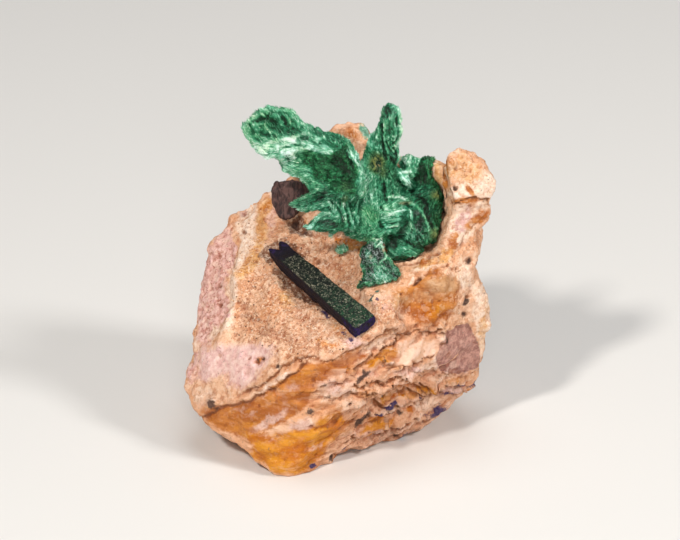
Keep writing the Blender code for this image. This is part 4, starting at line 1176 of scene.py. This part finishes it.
            (372, 254, 13, 12, 0.9), (378, 276, 20, 14, 0.7), (396, 272, 10, 12, 0.5),
            (300, 138, 22, 6, 0.3), (416, 232, 12, 12, 0.3), (326, 221, 14, 8, 0.2),
            (290, 156, 8, 6, 0.3),
        ],
    },
    "radial": (377, 163, 12),  # fibres spread from here
}


def strandFields(points, normals, pixels):
    total = np.full(len(points), 1e-6)
    tone, velvet, reach = total * 0.45, total * 0.4, total * 0.8
    comb = np.zeros((len(points), 3))
    comb[:, 2] = 1e-7
    best = np.full(len(points), 1e9)
    flow = np.zeros((len(points), 3))
    ragged = 0.30 * rough(points, 0.9, 2, 40)
    perMm = view["pixelsPerMm"]
    for k, (start, end, radius, paleness, upright, length) in enumerate(sprayLook["strands"]):
        a, b = np.array(start, float), np.array(end, float)
        along = b - a
        span = np.linalg.norm(along)
        way = along / span
        rel = pixels - a
        run = rel @ way
        across = rel[:, 1] * way[0] - rel[:, 0] * way[1]
        d = np.hypot(across, run - np.clip(run, 0, span)) / radius
        weight = np.exp(-5.0 * d ** 2) + 1e-5 / (1 + d ** 2)
        total += weight
        tone += weight * paleness
        velvet += weight * upright
        reach += weight * length
        comb += weight[:, None] * (np.array([way[0], 0, 0]) - upward * way[1])
        closer = d + ragged < best
        best = np.where(closer, d + ragged, best)
        mine = np.stack([across / perMm, run / perMm, np.full(len(points), 3.7 * k)], 1)
        flow = np.where(closer[:, None], mine, flow)
    tone, velvet, reach = tone / total, velvet / total, reach / total
    comb /= total[:, None]
    # around the yellow-brown spot the fibres spread like a star
    x, y, radius = sprayLook["radial"]
    out = pixels - np.array([x, y])
    star = np.exp(-(np.linalg.norm(out, axis=1) / radius) ** 4)
    out /= np.linalg.norm(out, axis=1, keepdims=True) + 1e-6
    spread = out[:, :1] * np.array([1.0, 0.0, 0.0]) - out[:, 1:] * upward
    comb = comb * (1 - star[:, None]) + star[:, None] * spread
    velvet = velvet * (1 - star) + 0.45 * star
    # clumps of fibres point their own way
    clump = wobble(points, 1.2, 2, 41)
    comb = comb / (np.linalg.norm(comb, axis=1, keepdims=True) + 1e-9) + 0.55 * clump
    flat = comb - normals * np.sum(comb * normals, axis=1, keepdims=True)
    flat /= np.linalg.norm(flat, axis=1, keepdims=True) + 1e-9
    raised = (0.12 + 0.75 * velvet)[:, None]
    comb = flat * (1 - 0.85 * raised) + normals * raised
    comb /= np.linalg.norm(comb, axis=1, keepdims=True)
    return tone, velvet, reach, comb, flow


def drawFolds(points, normals, pixels):
    # raised and sunk strokes, and how they change the tone, with painted highlight and painted shade among
    # them
    facing = ease(-0.05, 0.25, normals @ towards)
    height = np.zeros(len(points))
    shade = np.zeros(len(points))
    shaken = pixels + np.stack([rough(points, 0.9, 2, 45), rough(points, 0.9, 2, 46)], 1) * 0.7
    for width, rise, change, line in sprayLook["folds"]:
        chain = np.array(line, float)
        low, high = chain.min(0) - 3 * width, chain.max(0) + 3 * width
        near = np.flatnonzero(np.all((shaken > low) & (shaken < high), axis=1))
        if len(near) == 0:
            continue
        bell = np.exp(-(np.abs(lineDistance(shaken[near], line)) / width) ** 2.2) * facing[near]
        height[near] += rise * bell
        shade[near] += change * bell
    return height, shade


def makeSpray(node, name):
    piece = solidCopy(node, name)
    reskin(piece, sprayLook["cell"], sprayLook["soften"])
    points, normals = pointsOf(piece)
    pixels = seen(points)
    tone, velvet, reach, comb, flow = strandFields(points, normals, pixels)
    # ribs along the fibres: noise that is long along them and short across
    ribs = rough(flow * np.array([1 / 0.42, 1 / 2.6, 1.0]), 1.0, 2, 51)
    lumps = rough(points, 1.7, 3, 52)
    near, after, who, _ = cellsOf(points + 0.4 * wobble(points, 1.0, 2, 55), 1.25, 53)
    tufts = ease(0.0, 0.45, after - near)
    height, shade = drawFolds(points, normals, pixels)
    relief = 0.12 * ribs * (1 - 0.7 * velvet) + 0.16 * lumps
    relief += 0.32 * (tufts * (0.4 + 0.6 * who) - 0.45) + height
    putPoints(piece, points + normals * relief[:, None])
    sunk = [np.clip(sunkness(piece, passes) / depth, -1.5, 1.5) for passes, depth in ((3, 0.05), (12, 0.16))]
    # painted shade in the hollows and painted highlight on the raised points
    tone = tone + 0.7 * shade - 0.045 * sum(sunk) + 0.05 * rough(points, 0.8, 3, 54) + 0.05 * (who - 0.5)
    tone += 0.03 * ribs * (1 - 0.6 * velvet)
    fields = {"tone": np.clip(tone, 0, 1.2), "velvet": velvet, "reach": reach, "comb": comb, "flow": flow}
    facing = ease(0.0, 0.3, normals @ towards)
    for kind, spots in sprayLook["spots"].items():
        fields[kind] = np.zeros(len(points))
        for x, y, width, tall, strength in spots:
            far = ((pixels[:, 0] - x) / width) ** 2 + ((pixels[:, 1] - y) / tall) ** 2
            fields[kind] = np.maximum(fields[kind], strength * np.exp(-far) * facing)
    for label, values in fields.items():
        keep(piece, label, values)
    piece.data.shade_smooth()
    piece.data.materials.append(sprayMaterial())
    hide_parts(node)
    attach(piece, "root")
    print(name + ":", len(piece.data.polygons), "faces,", len(sprayLook["folds"]), "folds")
    return piece


def malachiteColour(s, tone):
    look = sprayLook
    colour = s.node("ShaderNodeValToRGB", {"stops": look["ramp"]}, {"Fac": tone})
    velvety = s.mask("velvet").between(0.1, 0.9) * (1.0 - s.mask("frost"))
    colour = s.mix(velvety * 0.8, colour, look["velvetTint"], "MULTIPLY")
    # some of it leans to teal, some to yellow
    lean = s.noise(3.0, 2.0)
    colour = s.mix(lean.between(0.52, 0.68) * 0.35, colour, look["tealTint"], "MULTIPLY")
    colour = s.mix(lean.between(0.48, 0.32) * 0.30, colour, look["yellowTint"], "MULTIPLY")
    spot = tone.between(0.20, 0.50) * 0.9
    colour = s.mix(s.mask("olive").between(0.1, 0.9) * spot, colour, look["olive"])
    return s.mix(s.mask("tan").between(0.2, 0.8) * spot, colour, look["tan"])


def sprayMaterial():
    found = bpy.data.materials.get("malachiteBody")
    if found:
        return found
    s = Shader("malachiteBody")
    fine = s.noise(0.22, 3.0, 0.7)
    flow = s.node("ShaderNodeAttribute", {"attribute_name": "flow"}, output="Vector")

    def combed(wide, long, detail, roughness):
        # noise drawn out along the fibres, with streaks of this size in mm
        along = s.vector("MULTIPLY", {0: flow, 1: (1 / wide, 1 / long, 1.0)})
        return s.noise(1000, detail, roughness, along)

    streak = combed(0.27, 1.6, 3.0, 0.6)
    velvet = s.mask("velvet")
    tone = s.mask("tone") + 0.045 + (streak - 0.5) * (1.0 - velvet * 0.88) * 1.10
    tone = tone + (fine - 0.5) * (0.40 + velvet * 0.9)
    # pale hair-fine strokes, and a frost of white specks
    hairs = combed(0.15, 1.1, 2.0, 0.5)
    tone = tone + hairs.between(0.57, 0.66) * (1.0 - velvet * 0.8) * 0.27
    tone = tone - hairs.between(0.42, 0.33) * 0.20
    net = s.cells(0.75, feature="DISTANCE_TO_EDGE", where=s.shaken(0.22, 0.6))
    flecks = s.noise(0.30, 2.0, 0.8).between(0.54, 0.64)
    frost = s.mask("frost")
    white = frost * (net.between(0.10, 0.02) * (0.25 + hairs.between(0.44, 0.56) * 0.5) + flecks * 0.32)
    colour = malachiteColour(s, tone + white * 0.35 - frost * 0.24)
    colour = s.mix(frost * 0.8, colour, sprayLook["frostTint"], "MULTIPLY")
    return s.set(
        Base_Color=s.mix(white, colour, sprayLook["white"]),
        Roughness=0.36 + 0.3 * fine,
        Specular_IOR_Level=0.32,
        Normal=s.bump(streak + hairs * 0.6 + fine * 0.6, 0.9, 0.16),
    )


def fibreMaterial():
    found = bpy.data.materials.get("malachiteFibre")
    if found:
        return found
    s = Shader("malachiteFibre")
    tint = s.mask("tint")
    # paler towards the tips, and a few are pale all along as painted glints
    tone = s.mask("tone") + (tint - 0.5) * 0.30 + s.mask("along") * 0.14
    tone = tone + tint.between(0.84, 0.90) * 0.22 - 0.03
    return s.set(Base_Color=malachiteColour(s, tone), Roughness=0.34, Specular_IOR_Level=0.35)


def spikeMesh(name):
    # a three-sided needle, 1 long and 1 thick at its root
    mesh = bpy.data.meshes.new(name)
    ring = [(0.5 * math.cos(a), 0.5 * math.sin(a), -0.12) for a in (0, 2 * math.pi / 3, 4 * math.pi / 3)]
    mesh.from_pydata([*ring, (0, 0, 1)], [], [(0, 1, 3), (1, 2, 3), (2, 0, 3), (2, 1, 0)])
    mesh.attributes.new("along", "FLOAT", "POINT").data.foreach_set("value", [0.0, 0.0, 0.0, 1.0])
    return helper(name, mesh)


def grainMesh(name, seed):
    # a blunt broken grain, 1 across
    bm = bmesh.new()
    bmesh.ops.create_icosphere(bm, subdivisions=1, radius=0.5)
    rng = np.random.default_rng(seed)
    for vert in bm.verts:
        vert.co *= 0.75 + 0.5 * rng.random()
    mesh = bpy.data.meshes.new(name)
    bm.to_mesh(mesh)
    bm.free()
    return helper(name, mesh)


def helper(name, mesh):
    made = bpy.data.objects.new(name, mesh)
    bpy.context.scene.collection.objects.link(made)
    return made


def scatterTree(name, alignTo=None, shareName=None):
    # scatters one small shape over a surface; the named inputs are its sizes
    tree = bpy.data.node_groups.new(name, "GeometryNodeTree")
    face = tree.interface
    face.new_socket("Geometry", in_out="INPUT", socket_type="NodeSocketGeometry")
    face.new_socket("Shape", in_out="INPUT", socket_type="NodeSocketObject")
    face.new_socket("Material", in_out="INPUT", socket_type="NodeSocketMaterial")
    for label in ("Per square mm", "Length", "Thickness", "Spread", "Turn"):
        face.new_socket(label, in_out="INPUT", socket_type="NodeSocketFloat")
    face.new_socket("Seed", in_out="INPUT", socket_type="NodeSocketInt")
    face.new_socket("Geometry", in_out="OUTPUT", socket_type="NodeSocketGeometry")
    nodes, links = tree.nodes, tree.links
    given = nodes.new("NodeGroupInput")
    result = nodes.new("NodeGroupOutput")

    def node(kind, settings=None, values=None):
        made = nodes.new(kind)
        for key, value in (settings or {}).items():
            setattr(made, key, value)
        for key, value in (values or {}).items():
            if isinstance(value, bpy.types.NodeSocket):
                links.new(value, made.inputs[key])
            else:
                made.inputs[key].default_value = value
        return made

    def sums(operation, a, b):
        return node("ShaderNodeMath", {"operation": operation}, {0: a, 1: b}).outputs[0]

    def named(label, kind="FLOAT"):
        made = node("GeometryNodeInputNamedAttribute", {"data_type": kind}, {"Name": label})
        return made.outputs["Attribute"]

    def chance(low, high, salt):
        salted = sums("ADD", given.outputs["Seed"], float(salt))
        made = node("FunctionNodeRandomValue", {"data_type": "FLOAT"}, {"Seed": salted})
        made.inputs[2].default_value = low
        made.inputs[3].default_value = high
        return made.outputs[1]

    density = sums("MULTIPLY", given.outputs["Per square mm"], 1e6)
    if shareName:
        density = sums("MULTIPLY", density, named(shareName))
    spots = node(
        "GeometryNodeDistributePointsOnFaces",
        {"distribute_method": "RANDOM"},
        {"Mesh": given.outputs["Geometry"], "Density": density, "Seed": given.outputs["Seed"]},
    )
    if alignTo:
        way = named(alignTo, "FLOAT_VECTOR")
        jitter = node("FunctionNodeRandomValue", {"data_type": "FLOAT_VECTOR"}, {"Seed": 5})
        jitter.inputs[0].default_value = (-1.0, -1.0, -1.0)
        jitter.inputs[1].default_value = (1.0, 1.0, 1.0)
        turns = {0: jitter.outputs[0], "Scale": given.outputs["Turn"]}
        scaled = node("ShaderNodeVectorMath", {"operation": "SCALE"}, turns)
        way = node("ShaderNodeVectorMath", {"operation": "ADD"}, {0: way, 1: scaled.outputs[0]}).outputs[0]
        turned = node("FunctionNodeAlignRotationToVector", {"axis": "Z"}, {"Vector": way}).outputs[0]
        stretch = chance(0.45, 1.25, 7)
        long = sums("MULTIPLY", sums("MULTIPLY", given.outputs["Length"], stretch), named("reach"))
        thick = sums("MULTIPLY", given.outputs["Thickness"], chance(0.6, 1.4, 11))
        size = node("ShaderNodeCombineXYZ", {}, {"X": thick, "Y": thick, "Z": long}).outputs[0]
    else:
        spin = node("FunctionNodeRandomValue", {"data_type": "FLOAT_VECTOR"}, {"Seed": 5})
        spin.inputs[0].default_value = (-3.1, -3.1, -3.1)
        spin.inputs[1].default_value = (3.1, 3.1, 3.1)
        turned = node("FunctionNodeEulerToRotation", {}, {0: spin.outputs[0]}).outputs[0]
        raised = sums("POWER", chance(0.0, 1.0, 7), 2.0)
        wide = sums("ADD", sums("MULTIPLY", raised, given.outputs["Spread"]), 0.5)
        wide = sums("MULTIPLY", wide, given.outputs["Length"])
        flat = sums("MULTIPLY", wide, chance(0.55, 1.0, 13))
        size = node("ShaderNodeCombineXYZ", {}, {"X": wide, "Y": wide, "Z": flat}).outputs[0]
    shape = node("GeometryNodeObjectInfo", {}, {"Object": given.outputs["Shape"]}).outputs["Geometry"]
    placed = node(
        "GeometryNodeInstanceOnPoints",
        {},
        {"Points": spots.outputs["Points"], "Instance": shape, "Rotation": turned, "Scale": size},
    )
    tinted = node(
        "GeometryNodeStoreNamedAttribute",
        {"data_type": "FLOAT", "domain": "INSTANCE"},
        {"Geometry": placed.outputs[0], "Name": "tint", "Value": chance(0.0, 1.0, 3)},
    )
    real = node("GeometryNodeRealizeInstances", {}, {"Geometry": tinted.outputs[0]})
    painted = node(
        "GeometryNodeSetMaterial", {}, {"Geometry": real.outputs[0], "Material": given.outputs["Material"]}
    )
    links.new(painted.outputs[0], result.inputs["Geometry"])
    return tree


def scatter(source, name, tree, inputs):
    # grows the shapes over a copy of the source, and keeps the result as a plain mesh
    piece = bpy.data.objects.new(name, source.data.copy())
    bpy.context.scene.collection.objects.link(piece)
    grow = piece.modifiers.new("scatter", "NODES")
    grow.node_group = tree
    sockets = {item.name: item.identifier for item in tree.interface.items_tree if item.in_out == "INPUT"}
    for label, value in inputs.items():
        grow[sockets[label]] = value
    settle(piece)
    points, _ = pointsOf(piece)
    putPoints(piece, points)
    return piece


def growFibres(body, name, tree, spike):
    fibre = sprayLook["fibre"]
    piece = scatter(body, name, tree, {
        "Shape": spike, "Material": fibreMaterial(), "Per square mm": fibre[body.name],
        "Length": fibre["length"] * mm, "Thickness": fibre["thick"] * mm, "Turn": fibre["turn"], "Seed": 3,
    })
    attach(piece, "root")
    print(name + ":", len(piece.data.polygons), "faces")


barLook = {
    "cell": 0.17,  # mm
    "back": (-7.5, 12.2, 31.5),
    "front": (7.3, -6.6, 25.9),
    "forkTips": 13.2,  # mm from the bar's middle
    "length": 25.5,  # mm
    "facing": (-0.03, -0.42, 0.88),  # the way its top faces
    "coat": [(0.004, 0.006, 0.005), (0.004, 0.012, 0.007)],
    "greenFleck": (0.014, 0.080, 0.034),
    "paleFleck": (0.19, 0.185, 0.135),
    "brightFleck": (0.44, 0.41, 0.30),
    "rim": (0.26, 0.23, 0.15),
    "purple": (0.010, 0.005, 0.007),
    "violet": (0.020, 0.008, 0.085),
    "violetHighlight": (0.040, 0.018, 0.130),
    "crack": (0.006, 0.004, 0.014),
}


def onBar(points):
    # along the bar from its fork's tips, across it, and the way its top faces
    back, front = np.array(barLook["back"]), np.array(barLook["front"])
    length = np.linalg.norm(front - back)
    along = (front - back) / length
    facing = np.array(barLook["facing"])
    facing = facing - along * (facing @ along)
    facing /= np.linalg.norm(facing)
    across = np.cross(along, facing)
    run = (points - back) @ along + barLook["forkTips"] - length / 2
    return run, (points - (back + front) / 2) @ across, facing


def makeBar():
    bar = solidCopy("azurite_bar", "bar")
    reskin(bar, barLook["cell"], 1)
    points, normals = pointsOf(bar)
    run, wide, facing = onBar(points)
    top = ease(0.45, 0.85, normals @ facing)
    bare = ease(6.0, 5.0, run + 0.36 * wide + 0.8 * rough(points, 0.8, 2, 61))
    # its two prongs are blunt
    blunt = ease(2.6, 0.8, run)
    for _ in range(14):
        points = points + blunt[:, None] * (neighbours(bar, points) - points)
    near, after, who, _ = cellsOf(points, 0.42, 62)
    crumbs = (who - 0.5) * ease(0.0, 0.3, after - near)
    grooves = rough(np.stack([run / 6.0, wide / 0.3, (points @ facing) / 0.3], 1), 1.0, 2, 63)
    relief = top * (1 - bare) * (0.22 * crumbs + 0.08 * rough(points, 1.2, 2, 64))
    relief += 0.10 * grooves * (1 - top) + 0.12 * rough(points, 1.8, 3, 65)
    putPoints(bar, points + normals * relief[:, None])
    # the coated top ends in a painted highlight, a pale line along its right side
    edge = np.percentile(wide[top > 0.5], 97)
    rim = np.exp(-(((wide - edge) / 0.16) ** 2)) * top * ease(7.0, 9.0, run) * ease(14.5, 12.5, run)
    # painted highlight: violet where the bare prongs face up
    tips = bare * ease(4.5, 1.0, run) * ease(0.0, 0.6, normals @ facing)
    share = np.clip(run / barLook["length"], 0, 1)
    for label, values in {"top": top * (1 - bare), "tips": tips, "run": share, "rim": rim}.items():
        keep(bar, label, values)
    bar.data.shade_smooth()
    bar.data.materials.append(barMaterial())
    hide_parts("azurite_bar")
    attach(bar, "root")
    print("bar:", len(bar.data.polygons), "faces")


def barMaterial():
    s = Shader("coatedAzurite")
    look = barLook
    fine = s.noise(0.20, 3.0, 0.7)
    pick = s.picked(0.17, s.shaken(0.12, 0.4))
    run = s.mask("run")
    coat = s.mix((s.noise(1.4, 3.0) + run * 0.35).between(0.52, 0.80), *look["coat"])
    coat = s.mix((0.06 + run.between(0.50, 0.90)) * pick.between(0.50, 0.72) * 0.70, coat, look["greenFleck"])
    patch = 0.35 + s.noise(0.9, 4.0, 0.7).between(0.42, 0.60) * 0.50
    coat = s.mix(pick.between(0.74, 0.97) * patch, coat, look["paleFleck"])
    coat = s.mix(pick.between(0.08, 0.02) * patch, coat, look["brightFleck"])
    coat = s.mix(s.mask("rim") * fine.between(0.40, 0.60) * 0.7, coat, look["rim"])
    side = s.mix((s.noise(1.0, 3.0) * 0.6 + run * 0.9).between(1.08, 1.24), look["purple"], look["violet"])
    broken = s.noise(0.55, 3.0, 0.7)
    # painted highlight on the prongs
    side = s.mix(s.mask("tips") * broken.between(0.46, 0.56) * 0.85, side, look["violetHighlight"])
    side = s.mix(broken.between(0.55, 0.42) * 0.80, side, look["crack"])
    colour = s.mix((s.mask("top") + (fine - 0.5) * 0.6).between(0.35, 0.65), side, coat)
    return s.set(
        Base_Color=colour,
        Roughness=0.40 + 0.36 * fine,
        Specular_IOR_Level=0.24,
        Normal=s.bump(pick * 0.7 + fine, 0.8, 0.10),
    )


bladeLook = {
    "cell": 0.16,  # mm
    "brown": (0.125, 0.064, 0.056),
    "dark": (0.030, 0.016, 0.016),
    "fleck": (0.25, 0.14, 0.10),
}


def makeBlade():
    blade = solidCopy("brown_blade", "blade")
    reskin(blade, bladeLook["cell"], 1)
    points, normals = pointsOf(blade)
    streaks = rough(points / np.array([0.4, 0.4, 3.0]), 1.0, 2, 71)
    relief = 0.12 * streaks + 0.16 * rough(points, 1.1, 3, 72)
    putPoints(blade, points + normals * relief[:, None])
    blade.data.shade_smooth()
    blade.data.materials.append(bladeMaterial())
    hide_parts("brown_blade")
    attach(blade, "root")
    print("blade:", len(blade.data.polygons), "faces")


def bladeMaterial():
    s = Shader("brownOre")
    grain = s.noise(0.5, 4.0, 0.6, s.stretched((0, 0, 0), (1.0, 1.0, 0.18)))
    fine = s.noise(0.2, 3.0, 0.7)
    colour = s.mix(grain.between(0.38, 0.62), bladeLook["dark"], bladeLook["brown"])
    colour = s.mix(fine.between(0.62, 0.74) * 0.4, colour, bladeLook["fleck"])
    bump = s.bump(grain + fine * 0.5, 0.6, 0.12)
    return s.set(Base_Color=colour, Roughness=0.72, Specular_IOR_Level=0.35, Normal=bump)


grainLook = {
    "perMm2": 2.6,
    "size": 0.20,  # mm
    "spread": 1.6,
    "sand": [(0.60, 0.30, 0.15), (0.92, 0.68, 0.48)],
    "rosy": (0.80, 0.50, 0.46),
    "ochre": (0.72, 0.32, 0.09),
    "dark": (0.10, 0.05, 0.03),
    "shaded": (0.22, 0.09, 0.05),
}


def makeGrains(rock):
    # loose sand lies thickest in the hollow, on what faces up, and not on the painted shade or the dark umber
    # stains
    points, normals = pointsOf(rock)
    loose = (0.2 + kept(rock, "sandy") * 1.3) * (1 - kept(rock, "calm"))
    dark = np.maximum(kept(rock, "shade"), kept(rock, "umber"))
    lying = ease(0.1, 0.6, normals[:, 2]) * ease(0.5, 2.0, points[:, 2])
    keep(rock, "loose", loose * ease(0.35, 0.0, dark) * lying)
    look = grainLook
    grain = grainMesh("grainShape", 5)
    grains = scatter(rock, "grains", scatterTree("scatterGrains", shareName="loose"), {
        "Shape": grain, "Material": grainMaterial(), "Per square mm": look["perMm2"],
        "Length": look["size"] * mm, "Thickness": 0.0, "Spread": look["spread"], "Turn": 0.0, "Seed": 8,
    })
    bpy.data.objects.remove(grain, do_unlink=True)
    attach(grains, "root")
    print("grains:", len(grains.data.polygons), "faces")


def grainMaterial():
    s = Shader("sandGrain")
    look = grainLook
    tint = s.mask("tint")
    colour = s.mix(tint, *look["sand"])
    rosy = (s.mask("rose") + s.mask("lilac")).between(0.3, 0.8)
    colour = s.mix(rosy * 0.6, colour, look["rosy"])
    ochre = (s.mask("ochre") + s.mask("gold") + s.mask("orange")).between(0.2, 0.7)
    colour = s.mix(ochre * 0.85, colour, look["ochre"])
    colour = s.mix(tint.between(0.10, 0.04), colour, look["dark"])
    # grains in the painted shade are darkened with it
    colour = s.mix(s.mask("shade").between(0.1, 0.5) * 0.9, colour, look["shaded"])
    return s.set(Base_Color=colour, Roughness=0.7, Specular_IOR_Level=0.35)


def makeFloor():
    look = studio["floor"]
    half = look["half"]
    mesh = bpy.data.meshes.new("floor")
    corners = [(-half, -half, 0), (half, -half, 0), (half, half, 0), (-half, half, 0)]
    mesh.from_pydata(corners, [], [(0, 1, 2, 3)])
    floor = helper("floor", mesh)
    mesh.materials.append(Shader("floor").set(Base_Color=look["colour"], Roughness=look["roughness"]))


placeCamera()
placeLights()
makeFloor()
makeGrains(makeRock())

spray = makeSpray("malachite_spray", "spray")
tuft = makeSpray("malachite_tuft", "tuft")
spike = spikeMesh("spikeShape")
fibreTree = scatterTree("growFibres", alignTo="comb")
growFibres(spray, "sprayFibres", fibreTree, spike)
growFibres(tuft, "tuftFibres", fibreTree, spike)
bpy.data.objects.remove(spike, do_unlink=True)
makeBar()
makeBlade()

print("done")
